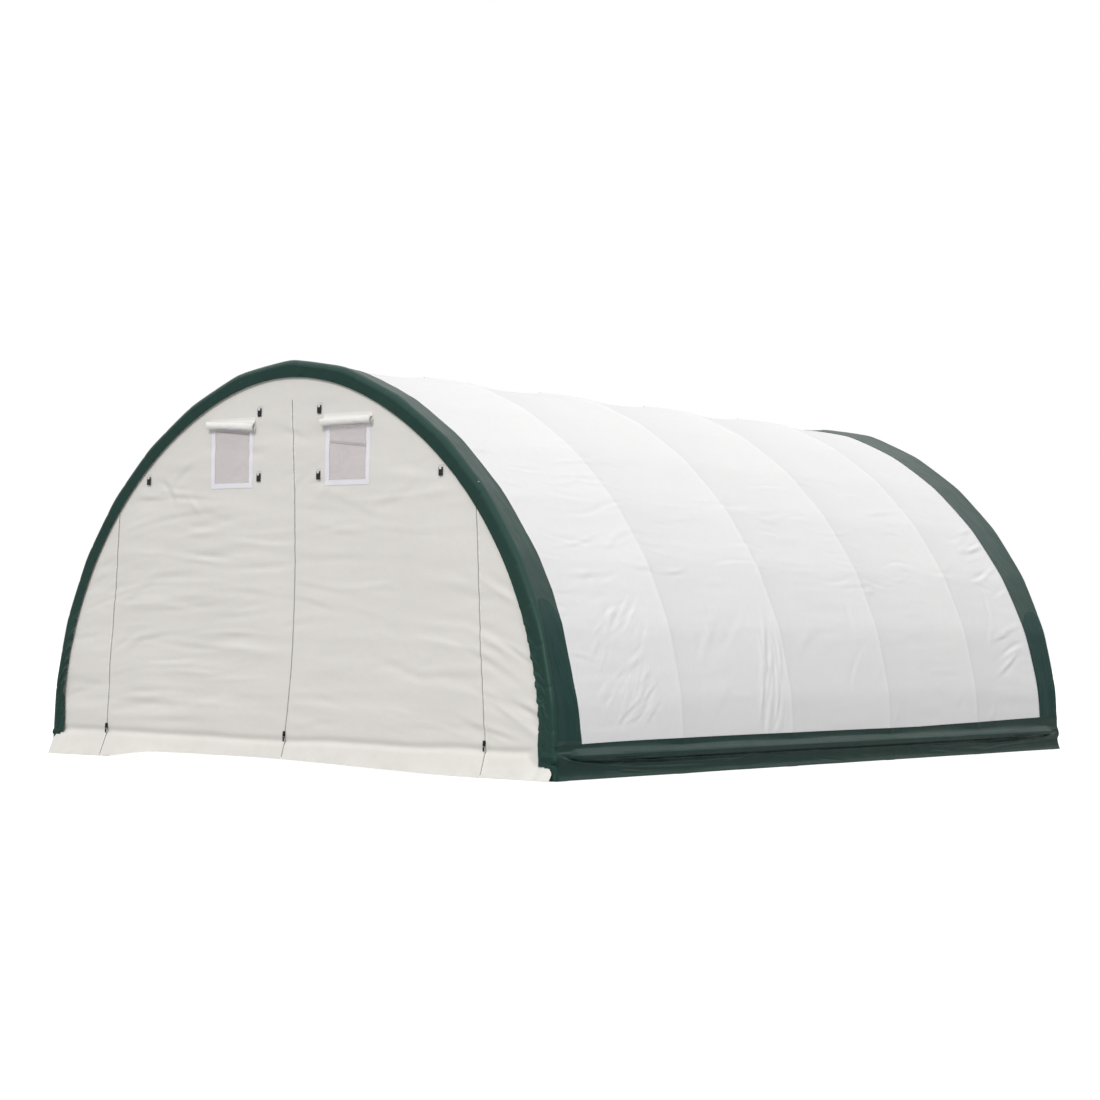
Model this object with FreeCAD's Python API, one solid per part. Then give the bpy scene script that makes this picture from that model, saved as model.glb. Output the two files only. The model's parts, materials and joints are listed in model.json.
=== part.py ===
"""Arched storage shelter: six steel hoops, purlins and end frames under a fabric cover.

Frame: origin on the ground at the centre of the footprint, +X to the right seen from the
front, +Y from the front wall to the rear wall, +Z up. Units are millimetres.
"""

import FreeCAD
import Part
import math
import os

V = FreeCAD.Vector

# Driving dimensions of the frame
HOOPS = 6
BAY = 1830.0
HALF_WIDTH = 3012.0  # hoop centreline at the ground
CROWN_HEIGHT = 3622.0  # hoop centreline at the ridge
CROWN_RADIUS = 2050.0
LEG_STRAIGHT = 200.0
HALF_FACETS = 8  # straight runs between bends, from a foot to the ridge
BEND_RADIUS = 250.0
HOOP_R = 30.0
HOOP_WALL = 2.0
LEG_END = 2.25  # tube ends, counted in facets from the foot
HAUNCH_END = 5.25

# Base plates, sleeves and bolts
PLATE = 160.0
PLATE_THICK = 10.0
PLATE_INSET = 45.0  # plate centre inward of the leg
PLATE_HOLE_R = 7.0
PLATE_HOLE_PITCH = 110.0
STUB_HEIGHT = 160.0
SLEEVE_R = 27.7
SLEEVE_WALL = 2.2
SLEEVE_LENGTH = 260.0
BOLT_R = 4.0
BOLT_HOLE_R = 4.5
BOLT_FLATS = 13.0
HEAD_HIGH = 5.3
NUT_HIGH = 6.5
SPLICE_BOLT_AT = 70.0
FOOT_BOLT_Z = 100.0

# Purlins and base rails, with flattened and bolted ends
PURLIN_R = 16.0
PURLIN_WALL = 1.5
TAB_THICK = 4.0
TAB_WIDTH = 44.0
TAB_REACH = 26.0  # past the bolt
TAPER_START = 110.0  # distance from the bolt to the round tube
TAPER_END = 34.0
PURLIN_GAP = 0.2
PURLIN_SEAT = 1.4  # tab below the round of the hoop tube
SIDE_PURLIN_AT = 2.65  # in facets from the foot
SHOULDER_PURLIN_AT = 5.65
RAIL_S = 300.0  # base rail height along the leg
CARRIAGE_HEAD_R = 9.0
CARRIAGE_HEAD_HIGH = 4.0

# End wall frames
POST_X = 2400.0
POST_R = 21.0
POST_WALL = 1.8
HEADER_Z = 2480.0
CLAMP_THICK = 2.5
CLAMP_WIDTH = 36.0
CLAMP_CLEAR = 0.15
EAR_THICK = 5.0
EAR_HALF = 15.0

# Fabric
FABRIC = 1.2
COVER_INNER = 36.8  # inner face of the cover, outward of the hoop centreline
COVER_OVERHANG = 70.0  # past the end hoops
BASE_BAND_HIGH = 300.0
FRONT_BAND = 330.0
REAR_BAND = 540.0
FACING = 130.0  # band folded onto the end wall
WALL_Y = 4620.0  # mid-plane of each end wall
SKIRT_Z = 250.0
SKIRT_OUT = 90.0
GROUND_GAP = 2.0
DOOR_TOP = 2500.0
ZIP_BOTTOM_X = 2316.0
ZIP_TOP_X = 2157.0
ZIP_GAP = 3.0
ZIP_TAPE = 22.0
ZIP_TAPE_THICK = 1.5
CENTRE_ZIP_TOP = 3285.0
SLIDER_PIN = 14.0
PULL_BAR_R = 1.8

# Vents
VENT_X = 705.0
VENT_Z = 2795.0
VENT_WIDE = 440.0
VENT_HIGH = 490.0
VENT_BORDER = 45.0
SCREEN_THICK = 0.8
ROLL_R = 28.0
ROLL_LENGTH = 580.0
ROLL_Z = 3086.0

# Door leaves
POLE_R = 12.5
POLE_WALL = 1.5
POLE_Y = -4597.0
POLE_Z = 285.0
POLE_INNER_X = 60.0
POLE_OUTER_X = 2240.0

# Tie buckles (x, z) on the right half, mirrored to the left
BUCKLES = ((1780.0, 2600.0), (365.0, 2600.0), (365.0, 3190.0))
BUCKLE_WIDE = 44.0
BUCKLE_HIGH = 74.0
BUCKLE_DEEP = 11.0
STRAP_THICK = 2.0

# Hem pipes and cover ratchets
PIPE_R = 16.0
PIPE_WALL = 1.5
PIPE_X = 3076.0
PIPE_Z = 200.0
RATCHET_X = 2900.0
RATCHET_FROM_SEAM = 45.0
SPOOL_R = 7.0
SPOOL_CLEAR = 0.06
STRAP_WIDE = 30.0
HANDLE_LENGTH = 128.0

WALL_IN = WALL_Y - FABRIC / 2
WALL_OUT = WALL_Y + FABRIC / 2
HALF_LENGTH = BAY * (HOOPS - 1) / 2
HOOP_YS = [-HALF_LENGTH + BAY * i for i in range(HOOPS)]
COVER_END = HALF_LENGTH + COVER_OVERHANG
COVER_OUTER = COVER_INNER + FABRIC

# Hoop curve: straight leg, side arc, crown arc, all tangent
RISE = CROWN_HEIGHT - CROWN_RADIUS - LEG_STRAIGHT
SIDE_RADIUS = (HALF_WIDTH**2 + RISE**2 - CROWN_RADIUS**2) / (2 * (HALF_WIDTH - CROWN_RADIUS))
SIDE_CENTRE_X = HALF_WIDTH - SIDE_RADIUS
SIDE_ANGLE = math.atan2(RISE, -SIDE_CENTRE_X)
HALF_CURVE = LEG_STRAIGHT + SIDE_RADIUS * SIDE_ANGLE + CROWN_RADIUS * (math.pi / 2 - SIDE_ANGLE)
FACET = HALF_CURVE / HALF_FACETS


def curve_point(s):
    """(x, z) of the right half of the hoop curve at arc length s from the foot."""
    if s <= LEG_STRAIGHT:
        return HALF_WIDTH, s
    s -= LEG_STRAIGHT
    if s <= SIDE_RADIUS * SIDE_ANGLE:
        a = s / SIDE_RADIUS
        return SIDE_CENTRE_X + SIDE_RADIUS * math.cos(a), LEG_STRAIGHT + SIDE_RADIUS * math.sin(a)
    a = SIDE_ANGLE + (s - SIDE_RADIUS * SIDE_ANGLE) / CROWN_RADIUS
    z = CROWN_HEIGHT - CROWN_RADIUS + CROWN_RADIUS * math.sin(a)
    return CROWN_RADIUS * math.cos(a), z


RIGHT = [curve_point(FACET * k) for k in range(HALF_FACETS + 1)]


def leg_point(z):
    """(x, z) on the lowest straight run of the right leg at height z."""
    (x0, z0), (x1, z1) = RIGHT[:2]
    return x0 + (x1 - x0) * (z - z0) / (z1 - z0), z


def on_facet(facets):
    """(x, z, unit tangent, unit inward normal) on the bent hoop, counted in facets."""
    k = min(int(facets), HALF_FACETS - 1)
    (x0, z0), (x1, z1) = RIGHT[k], RIGHT[k + 1]
    t = facets - k
    run = math.hypot(x1 - x0, z1 - z0)
    tx, tz = (x1 - x0) / run, (z1 - z0) / run
    return x0 + (x1 - x0) * t, z0 + (z1 - z0) * t, (tx, tz), (-tz, tx)


def arch(offset, floor=0.0):
    """The bent hoop's outline offset outward, from the right foot to the left, above floor."""
    lines = []
    for (x0, z0), (x1, z1) in zip(RIGHT, RIGHT[1:]):
        run = math.hypot(x1 - x0, z1 - z0)
        nx, nz = (z1 - z0) / run, -(x1 - x0) / run
        lines.append(((x0 + nx * offset, z0 + nz * offset), (x1 - x0, z1 - z0)))
    (px, pz), (dx, dz) = lines[0]
    points = [(px + dx * (floor - pz) / dz, floor)]
    for (p, d), (q, e) in zip(lines, lines[1:]):
        cross = d[0] * e[1] - d[1] * e[0]
        t = ((q[0] - p[0]) * e[1] - (q[1] - p[1]) * e[0]) / cross
        points.append((p[0] + d[0] * t, p[1] + d[1] * t))
    (px, pz), (dx, dz) = lines[-1]
    ridge = (0.0, pz - dz * px / dx)
    return points + [ridge] + [(-x, z) for x, z in reversed(points)]


def box(x, y, z):
    """A box from three (low, high) pairs."""
    return Part.makeBox(x[1] - x[0], y[1] - y[0], z[1] - z[0], V(x[0], y[0], z[0]))


def rod(start, end, radius):
    """A solid cylinder between two points."""
    start, end = V(*start), V(*end)
    return Part.makeCylinder(radius, (end - start).Length, start, end - start)


def pipe(start, end, outer, wall):
    """A straight hollow tube."""
    return rod(start, end, outer).cut(rod(start, end, outer - wall))


def prism_y(points, y0, y1):
    """A polygon in the XZ plane, extruded from y0 to y1."""
    corners = [V(x, y0, z) for x, z in points]
    return Part.Face(Part.makePolygon(corners + corners[:1])).extrude(V(0, y1 - y0, 0))


def prism_x(points, x0, x1):
    """A polygon in the YZ plane, extruded from x0 to x1."""
    corners = [V(x0, y, z) for y, z in points]
    return Part.Face(Part.makePolygon(corners + corners[:1])).extrude(V(x1 - x0, 0, 0))


def hexagon(centre, direction, height):
    """A hexagonal head or nut that grows from centre along direction."""
    r = BOLT_FLATS / math.sqrt(3)
    points = [V(r * math.cos(k * math.pi / 3), r * math.sin(k * math.pi / 3), 0) for k in range(6)]
    solid = Part.Face(Part.makePolygon(points + points[:1])).extrude(V(0, 0, height))
    turn = FreeCAD.Rotation(V(0, 0, 1), V(*direction))
    solid.Placement = FreeCAD.Placement(V(*centre), turn)
    return solid


def mirrored(shape):
    return shape.mirror(V(0, 0, 0), V(1, 0, 0))


def both_sides(shape):
    return [shape, mirrored(shape)]


def moved(shape, x=0.0, y=0.0, z=0.0):
    copy = shape.copy()
    copy.translate(V(x, y, z))
    return copy


def only_solid(shape):
    assert shape.isValid() and len(shape.Solids) == 1, "a piece must be one valid solid"
    return shape.Solids[0]


def save(name, *shapes):
    """One node: one STEP file of one or more separate solids."""
    solids = [only_solid(s) for s in shapes]
    whole = solids[0] if len(solids) == 1 else Part.makeCompound(solids)
    whole.exportStep("parts/%s.step" % name)


def bent_path(points, radius):
    """A wire of straight runs joined by tangent arcs, in the XZ plane."""
    points = [V(x, 0, z) for x, z in points]
    edges, start = [], points[0]
    for before, corner, after in zip(points, points[1:], points[2:]):
        a, b = (before - corner).normalize(), (after - corner).normalize()
        half = a.getAngle(b) / 2
        reach = radius / math.tan(half)
        middle = (a + b).normalize() * (radius / math.sin(half) - radius)
        p, q = corner + a * reach, corner + b * reach
        edges.append(Part.LineSegment(start, p).toShape())
        edges.append(Part.Arc(p, corner + middle, q).toShape())
        start = q
    edges.append(Part.LineSegment(start, points[-1]).toShape())
    return Part.Wire(edges)


def swept(path, radius):
    edge = path.Edges[0]
    ring = Part.makeCircle(radius, edge.Vertexes[0].Point, edge.tangentAt(edge.FirstParameter))
    return path.makePipeShell([Part.Wire(ring)], True, False)


def bent_tube(points):
    path = bent_path(points, BEND_RADIUS)
    return swept(path, HOOP_R).cut(swept(path, HOOP_R - HOOP_WALL))


def hole_y(x, z, radius=BOLT_HOLE_R):
    return rod((x, -2 * HOOP_R, z), (x, 2 * HOOP_R, z), radius)


def hole_normal(facets):
    """A bolt hole through a hoop tube, square to it and in the plane of the hoop."""
    x, z, (nx, nz) = line_place(facets)
    r = 2 * HOOP_R
    return rod((x - nx * r, 0, z - nz * r), (x + nx * r, 0, z + nz * r), BOLT_HOLE_R)


def splice_points():
    """The four tube joints of a hoop: (x, z, tangent) each."""
    found = []
    for at in (LEG_END, HAUNCH_END):
        x, z, (tx, tz), _ = on_facet(at)
        found += [(x, z, (tx, tz)), (-x, z, (-tx, tz))]
    return found


def splice_bolt_points():
    """(x, z) of the bolts each side of every tube joint."""
    return [
        (x + tx * side * SPLICE_BOLT_AT, z + tz * side * SPLICE_BOLT_AT)
        for x, z, (tx, tz) in splice_points()
        for side in (-1, 1)
    ]


RAIL_FACETS = RAIL_S / FACET
PURLIN_LINES = {
    "ridge_purlin": (HALF_FACETS, (1,)),
    "shoulder_purlins": (SHOULDER_PURLIN_AT, (1, -1)),
    "side_purlins": (SIDE_PURLIN_AT, (1, -1)),
    "right_base_rail": (RAIL_FACETS, (1,)),
    "left_base_rail": (RAIL_FACETS, (-1,)),
}


def line_place(facets):
    """(x, z, inward normal) of a purlin line's bolts on the right half of a hoop."""
    if facets >= HALF_FACETS:
        # the bend at the ridge lies inside the corner of the two facets
        half = math.atan2(RIGHT[-1][1] - RIGHT[-2][1], RIGHT[-2][0])
        return 0.0, RIGHT[-1][1] - BEND_RADIUS * (1 / math.cos(half) - 1), (0.0, -1.0)
    x, z, _, normal = on_facet(facets)
    return x, z, normal


def hoop_tubes():
    """The five bent tubes of one hoop, in the plane y = 0, drilled for their bolts."""
    leg_end, haunch_end = on_facet(LEG_END)[:2], on_facet(HAUNCH_END)[:2]
    low, high = math.ceil(LEG_END), math.ceil(HAUNCH_END)
    leg = bent_tube([leg_point(PLATE_THICK + 2.0)] + RIGHT[1:low] + [leg_end])
    haunch = bent_tube([leg_end] + RIGHT[low:high] + [haunch_end])
    half_crown = [haunch_end] + RIGHT[high:HALF_FACETS]
    crown = bent_tube(half_crown + [RIGHT[-1]] + [(-x, z) for x, z in reversed(half_crown)])
    holes = [hole_y(x, z) for x, z in splice_bolt_points()]
    holes += both_sides(hole_y(*leg_point(FOOT_BOLT_Z)))
    for facets, sides in PURLIN_LINES.values():
        hole = hole_normal(facets)
        holes += [hole if side > 0 else mirrored(hole) for side in sides]
    drill = Part.makeCompound(holes)
    return [tube.cut(drill) for tube in (leg, haunch, crown, mirrored(haunch), mirrored(leg))]


def make_hoops():
    tubes = hoop_tubes()
    for i, y in enumerate(HOOP_YS):
        save("hoop_%d" % (i + 1), *[moved(t, y=y) for t in tubes])


def make_sleeves():
    sleeves = []
    drill = Part.makeCompound([hole_y(x, z) for x, z in splice_bolt_points()])
    half = SLEEVE_LENGTH / 2
    for x, z, (tx, tz) in splice_points():
        ends = [(x + tx * d, 0, z + tz * d) for d in (-half, half)]
        sleeves.append(pipe(ends[0], ends[1], SLEEVE_R, SLEEVE_WALL).cut(drill))
    save("splice_sleeves", *[moved(s, y=y) for y in HOOP_YS for s in sleeves])


def cross_bolt(x, z, radius):
    """A hex bolt and nut along Y through a tube of that radius."""
    bolt = rod((x, -radius - HEAD_HIGH / 2, z), (x, radius + NUT_HIGH + 2, z), BOLT_R)
    bolt = bolt.fuse(hexagon((x, -radius, z), (0, -1, 0), HEAD_HIGH))
    return bolt.fuse(hexagon((x, radius, z), (0, 1, 0), NUT_HIGH))


def make_splice_bolts():
    foot_x, foot_z = leg_point(FOOT_BOLT_Z)
    places = splice_bolt_points() + [(foot_x, foot_z), (-foot_x, foot_z)]
    reach = HOOP_R + 0.1
    save(
        "hoop_bolts",
        *[moved(cross_bolt(x, z, reach), y=y) for y in HOOP_YS for x, z in places],
    )


def plate_centre(i):
    """(x, y) of the base plate of hoop i on the right side."""
    inset = PLATE_INSET if i == 0 else -PLATE_INSET if i == HOOPS - 1 else 0.0
    return HALF_WIDTH - PLATE_INSET, HOOP_YS[i] + inset


def make_base_plates():
    plates = []
    for i, y in enumerate(HOOP_YS):
        cx, cy = plate_centre(i)
        half, pitch = PLATE / 2, PLATE_HOLE_PITCH / 2
        plate = box((cx - half, cx + half), (cy - half, cy + half), (0, PLATE_THICK))
        for dy in (-pitch, pitch):
            at = (cx - pitch, cy + dy)
            plate = plate.cut(rod((*at, -1), (*at, PLATE_THICK + 1), PLATE_HOLE_R))
        (x0, z0), (x1, z1) = leg_point(PLATE_THICK / 2), leg_point(STUB_HEIGHT)
        plate = plate.fuse(rod((x0, y, z0), (x1, y, z1), SLEEVE_R))
        (x0, z0), (x1, z1) = leg_point(-SLEEVE_WALL), leg_point(STUB_HEIGHT + SLEEVE_WALL)
        plate = plate.cut(rod((x0, y, z0), (x1, y, z1), SLEEVE_R - SLEEVE_WALL))
        plate = plate.cut(moved(hole_y(*leg_point(FOOT_BOLT_Z)), y=y))
        plates += both_sides(plate)
    save("base_plates", *plates)


def flattened(at, out, layer):
    """A purlin's flattened end, along Y. at is the bolt's y, out the way to the tube."""
    low = PURLIN_SEAT + layer * (TAB_THICK + PURLIN_GAP)
    ys = sorted((at - out * TAB_REACH, at + out * (TAPER_END + 6)))
    tab = box((-TAB_WIDTH / 2, TAB_WIDTH / 2), ys, (-low - TAB_THICK, -low))
    ring = Part.makeCircle(PURLIN_R, V(0, at + out * TAPER_START, -TAB_THICK), V(0, out, 0))
    flat = Part.Ellipse(V(0, 0, 0), TAB_WIDTH / 2, TAB_THICK / 2).toShape()
    turn = FreeCAD.Rotation(V(0, 0, 1), V(0, out, 0))
    centre = V(0, at + out * TAPER_END, -low - TAB_THICK / 2)
    flat.Placement = FreeCAD.Placement(centre, turn)
    taper = Part.makeLoft([Part.Wire(flat), Part.Wire(ring)], True, True)
    hole = rod((0, at, -low - TAB_THICK - 1), (0, at, 1), BOLT_HOLE_R)
    return tab.fuse(taper).cut(hole)


def purlin(i):
    """The purlin tube of bay i, hung under z = 0 on the line x = 0."""
    y0, y1 = HOOP_YS[i], HOOP_YS[i + 1]
    tube = pipe(
        (0, y0 + TAPER_START, -TAB_THICK), (0, y1 - TAPER_START, -TAB_THICK), PURLIN_R, PURLIN_WALL
    )
    return tube.fuse(flattened(y0, 1, 0)).fuse(flattened(y1, -1, 1))


def hang(shape, facets, side):
    """Moves a shape from the line x = 0, z = 0 to the inner face of the hoops."""
    x, z, (nx, nz) = line_place(facets)
    turn = math.degrees(math.atan2(nx, -nz))
    copy = shape.copy()
    copy.rotate(V(0, 0, 0), V(0, 1, 0), -turn)
    copy.translate(V(x + nx * HOOP_R, 0, z + nz * HOOP_R))
    return copy if side > 0 else mirrored(copy)


def carriage_bolt(y):
    """The bolt of a purlin line at a hoop: head outside, nut below the two tabs."""
    top = -2 * HOOP_R
    below = PURLIN_SEAT + 2 * (TAB_THICK + PURLIN_GAP)
    shank = rod((0, y, -top + 1), (0, y, -below - NUT_HIGH - 2), BOLT_R)
    head = rod((0, y, -top + 0.2), (0, y, -top + CARRIAGE_HEAD_HIGH), CARRIAGE_HEAD_R)
    return shank.fuse(head).fuse(hexagon((0, y, -below), (0, 0, -1), NUT_HIGH))


def make_purlins():
    tubes = [purlin(i) for i in range(HOOPS - 1)]
    bolts = [carriage_bolt(y) for y in HOOP_YS]
    hung = []
    for name, (facets, sides) in PURLIN_LINES.items():
        save(name, *[hang(t, facets, side) for side in sides for t in tubes])
        hung += [hang(b, facets, side) for side in sides for b in bolts]
    save("purlin_bolts", *hung)


def facet_at(test, target):
    """Facet count on the right half where test(x, z) reaches target, by halving."""
    low, high = 0.0, float(HALF_FACETS) - 0.01
    rising = test(*on_facet(high)[:2]) > test(*on_facet(low)[:2])
    for _ in range(60):
        mid = (low + high) / 2
        if (test(*on_facet(mid)[:2]) < target) == rising:
            low = mid
        else:
            high = mid
    return low


def clamp(facets, direction, gap):
    """A band clamp round a hoop with an ear that reaches along direction to a post or header."""
    x, z, (tx, tz), _ = on_facet(facets)
    inner, half = HOOP_R + CLAMP_CLEAR, CLAMP_WIDTH / 2
    ends = [(x + tx * d, 0, z + tz * d) for d in (-half, half)]
    ring = pipe(ends[0], ends[1], inner + CLAMP_THICK, CLAMP_THICK)
    dx, dz = direction
    y0 = POST_R + 0.2
    reach = gap + 2 * EAR_HALF
    corners = [
        (x + dx * a + dz * b, z + dz * a - dx * b)
        for a, b in ((0, -EAR_HALF), (reach, -EAR_HALF), (reach, EAR_HALF), (0, EAR_HALF))
    ]
    ear = prism_y(corners, y0, y0 + EAR_THICK)
    clear = [(x + tx * d, 0, z + tz * d) for d in (-5 * half, 5 * half)]
    ear = ear.cut(rod(*clear, inner))
    at = (x + dx * (reach - EAR_HALF), z + dz * (reach - EAR_HALF))
    hole = rod((at[0], y0 - 1, at[1]), (at[0], y0 + EAR_THICK + 1, at[1]), BOLT_HOLE_R)
    return ring.fuse(ear).cut(hole), at


def make_end_frames():
    post_at = facet_at(lambda x, z: x, POST_X)
    header_at = facet_at(lambda x, z: z, HEADER_Z)
    post_top = on_facet(post_at)[1]
    header_end = on_facet(header_at)[0]
    nx, nz = on_facet(post_at)[3]
    post_gap = (HOOP_R + 2 + POST_R * -nx) / -nz
    nx, nz = on_facet(header_at)[3]
    header_gap = (HOOP_R + 2 + POST_R * -nz) / -nx
    post_ear, post_bolt = clamp(post_at, (0.0, -1.0), post_gap)
    header_ear, header_bolt = clamp(header_at, (-1.0, 0.0), header_gap)
    post = pipe((POST_X, 0, PLATE_THICK), (POST_X, 0, post_top - post_gap), POST_R, POST_WALL)
    foot = box((POST_X - 60, POST_X + 60), (-32, 32), (0, PLATE_THICK))
    post = post.fuse(foot).cut(hole_y(*post_bolt))
    for dx in (-42, 42):
        post = post.cut(rod((POST_X + dx, 0, -1), (POST_X + dx, 0, PLATE_THICK + 1), BOLT_HOLE_R))
    end = header_end - header_gap
    header = pipe((-end, 0, HEADER_Z), (end, 0, HEADER_Z), POST_R, POST_WALL)
    for sign in (-1, 1):
        header = header.cut(hole_y(sign * header_bolt[0], header_bolt[1]))
    y_front, y_rear = HOOP_YS[0], HOOP_YS[-1]
    save("right_door_post", moved(post, y=y_front))
    save("left_door_post", moved(mirrored(post), y=y_front))
    save("door_header", moved(header, y=y_front))
    save("rear_posts", *[moved(p, y=y_rear) for p in both_sides(post)])
    save("rear_header", moved(header, y=y_rear))
    clamps, bolts = [], []
    for ear, (bx, bz) in ((post_ear, post_bolt), (header_ear, header_bolt)):
        nut_face = POST_R + 0.2 + EAR_THICK + 0.1
        bolt = rod((bx, -POST_R - HEAD_HIGH / 2 - 0.1, bz), (bx, nut_face + 8, bz), BOLT_R)
        bolt = bolt.fuse(hexagon((bx, -POST_R - 0.1, bz), (0, -1, 0), HEAD_HIGH))
        bolt = bolt.fuse(hexagon((bx, nut_face, bz), (0, 1, 0), NUT_HIGH))
        for y in (y_front, y_rear):
            clamps += [moved(c, y=y) for c in both_sides(ear)]
            bolts += [moved(b, y=y) for b in both_sides(bolt)]
    save("end_frame_clamps", *clamps)
    save("end_frame_bolts", *bolts)


def ring_prism(outer, inner, y0, y1, floor):
    """The arch between two offsets of the hoop outline, from y0 to y1, above floor."""
    return prism_y(arch(outer, floor) + list(reversed(arch(inner, floor))), y0, y1)


def make_cover():
    front_seam = -COVER_END + FRONT_BAND
    rear_seam = COVER_END - REAR_BAND
    outer, inner = COVER_OUTER, COVER_INNER
    save("roof_cover", ring_prism(outer, inner, front_seam, rear_seam, BASE_BAND_HIGH))
    front = ring_prism(outer, inner, -COVER_END, front_seam, GROUND_GAP)
    facing = ring_prism(outer, outer - FACING, -COVER_END - FABRIC, -COVER_END, GROUND_GAP)
    save("front_edge_band", front.fuse(facing).removeSplitter())
    rear = ring_prism(outer, inner, rear_seam, COVER_END, GROUND_GAP)
    facing = ring_prism(outer, outer - FACING, COVER_END, COVER_END + FABRIC, GROUND_GAP)
    save("rear_edge_band", rear.fuse(facing).removeSplitter())
    top = arch(inner, BASE_BAND_HIGH)[0][0]
    belly, tuck = PIPE_X + PIPE_R + 4, PIPE_X - 4
    inside = [
        (top, BASE_BAND_HIGH),
        (PIPE_X + 4, PIPE_Z + 40),
        (belly, PIPE_Z + 14),
        (belly, PIPE_Z - 14),
        (PIPE_X + 2, PIPE_Z - 50),
        (tuck, PIPE_Z - 110),
        (PIPE_X + 10, GROUND_GAP),
    ]
    outside = [(x + FABRIC, z) for x, z in reversed(inside)]
    band = prism_y(inside + outside, front_seam, rear_seam)
    save("right_base_band", band)
    save("left_base_band", mirrored(band))
    pole = pipe((PIPE_X, front_seam + 6, PIPE_Z), (PIPE_X, rear_seam - 6, PIPE_Z), PIPE_R, PIPE_WALL)
    save("hem_pipes", *both_sides(pole))


def wall_sheet(front):
    """The whole width of an end wall's fabric with its kicked-out skirt."""
    sign = -1 if front else 1
    profile = [
        (sign * WALL_IN, CROWN_HEIGHT),
        (sign * WALL_IN, SKIRT_Z),
        (sign * (WALL_IN + SKIRT_OUT), GROUND_GAP),
        (sign * (WALL_OUT + SKIRT_OUT), GROUND_GAP),
        (sign * WALL_OUT, SKIRT_Z),
        (sign * WALL_OUT, CROWN_HEIGHT),
    ]
    edge = arch(COVER_OUTER - FACING)[0][0] - 16
    ys = sorted((sign * WALL_IN, sign * WALL_OUT))
    straight = box((-HALF_WIDTH, HALF_WIDTH), ys, (GROUND_GAP, CROWN_HEIGHT))
    kept = straight.cut(box((-edge, edge), (-2 * WALL_Y, 2 * WALL_Y), (0, SKIRT_Z)))
    return kept.fuse(prism_x(profile, -edge, edge))


def cut_to(outline, front=True):
    sign = -1 if front else 1
    ys = sorted((sign * (WALL_IN - 10), sign * (WALL_OUT + SKIRT_OUT + 10)))
    return wall_sheet(front).common(prism_y(outline, *ys))


def zip_x(z):
    """The side zip's x at height z."""
    return ZIP_BOTTOM_X + (ZIP_TOP_X - ZIP_BOTTOM_X) * z / DOOR_TOP


def vent_holes():
    ys = (-WALL_OUT - 5, -WALL_IN + 5)
    xs = (VENT_X - VENT_WIDE / 2, VENT_X + VENT_WIDE / 2)
    zs = (VENT_Z - VENT_HIGH / 2, VENT_Z + VENT_HIGH / 2)
    return both_sides(box(xs, ys, zs))


def make_front_wall():
    outline = arch(0.0)
    top = [p for p in outline if p[1] > DOOR_TOP]
    edge = facet_at(lambda x, z: z, DOOR_TOP)
    edge_x = on_facet(edge)[0]
    gable = cut_to([(edge_x, DOOR_TOP)] + top + [(-edge_x, DOOR_TOP)])
    for hole in vent_holes():
        gable = gable.cut(hole)
    save("front_gable_panel", gable)
    side = [p for p in RIGHT if p[1] < DOOR_TOP]
    corner = (zip_x(DOOR_TOP) + ZIP_GAP, DOOR_TOP - ZIP_GAP)
    panel = cut_to([(zip_x(0) + ZIP_GAP, 0)] + side + [corner])
    save("front_right_panel", panel)
    save("front_left_panel", mirrored(panel))
    low, high = zip_x(0) - ZIP_GAP, zip_x(DOOR_TOP) - ZIP_GAP
    leaf = cut_to(
        [(ZIP_GAP, 0), (low, 0), (high, DOOR_TOP - ZIP_GAP), (ZIP_GAP, DOOR_TOP - ZIP_GAP)]
    )
    save("right_door_leaf", leaf)
    save("left_door_leaf", mirrored(leaf))
    pole = pipe((POLE_INNER_X, POLE_Y, POLE_Z), (POLE_OUTER_X, POLE_Y, POLE_Z), POLE_R, POLE_WALL)
    save("right_roll_pole", pole)
    save("left_roll_pole", mirrored(pole))


def make_rear_wall():
    save("rear_wall", cut_to(arch(0.0), front=False))


def vent_screen():
    """The sewn border and the mesh of the right vent."""
    face = -WALL_OUT - 0.2
    half_w, half_h = VENT_WIDE / 2, VENT_HIGH / 2
    ys = (face - FABRIC, face)
    rim = VENT_BORDER
    xs = (VENT_X - half_w - rim, VENT_X + half_w + rim)
    zs = (VENT_Z - half_h - rim, VENT_Z + half_h + rim)
    border = box(xs, ys, zs)
    opening_x = (VENT_X - half_w, VENT_X + half_w)
    opening_z = (VENT_Z - half_h, VENT_Z + half_h)
    border = border.cut(box(opening_x, (ys[0] - 1, ys[1] + 1), opening_z))
    mesh_y = (-WALL_IN + 0.4, -WALL_IN + 0.4 + SCREEN_THICK)
    mesh_x = (opening_x[0] - rim / 2, opening_x[1] + rim / 2)
    mesh_z = (opening_z[0] - rim / 2, opening_z[1] + rim / 2)
    return border, box(mesh_x, mesh_y, mesh_z)


def flap_roll():
    """The storm flap, rolled up above the right vent."""
    y = -WALL_OUT - 2 * FABRIC - ROLL_R - 1
    half = ROLL_LENGTH / 2
    return rod((VENT_X - half, y, ROLL_Z), (VENT_X + half, y, ROLL_Z), ROLL_R)


def make_vents():
    border, mesh = vent_screen()
    save("right_vent_screen", border, mesh)
    save("left_vent_screen", mirrored(border), mirrored(mesh))
    save("right_vent_flap", flap_roll())
    save("left_vent_flap", mirrored(flap_roll()))


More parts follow.
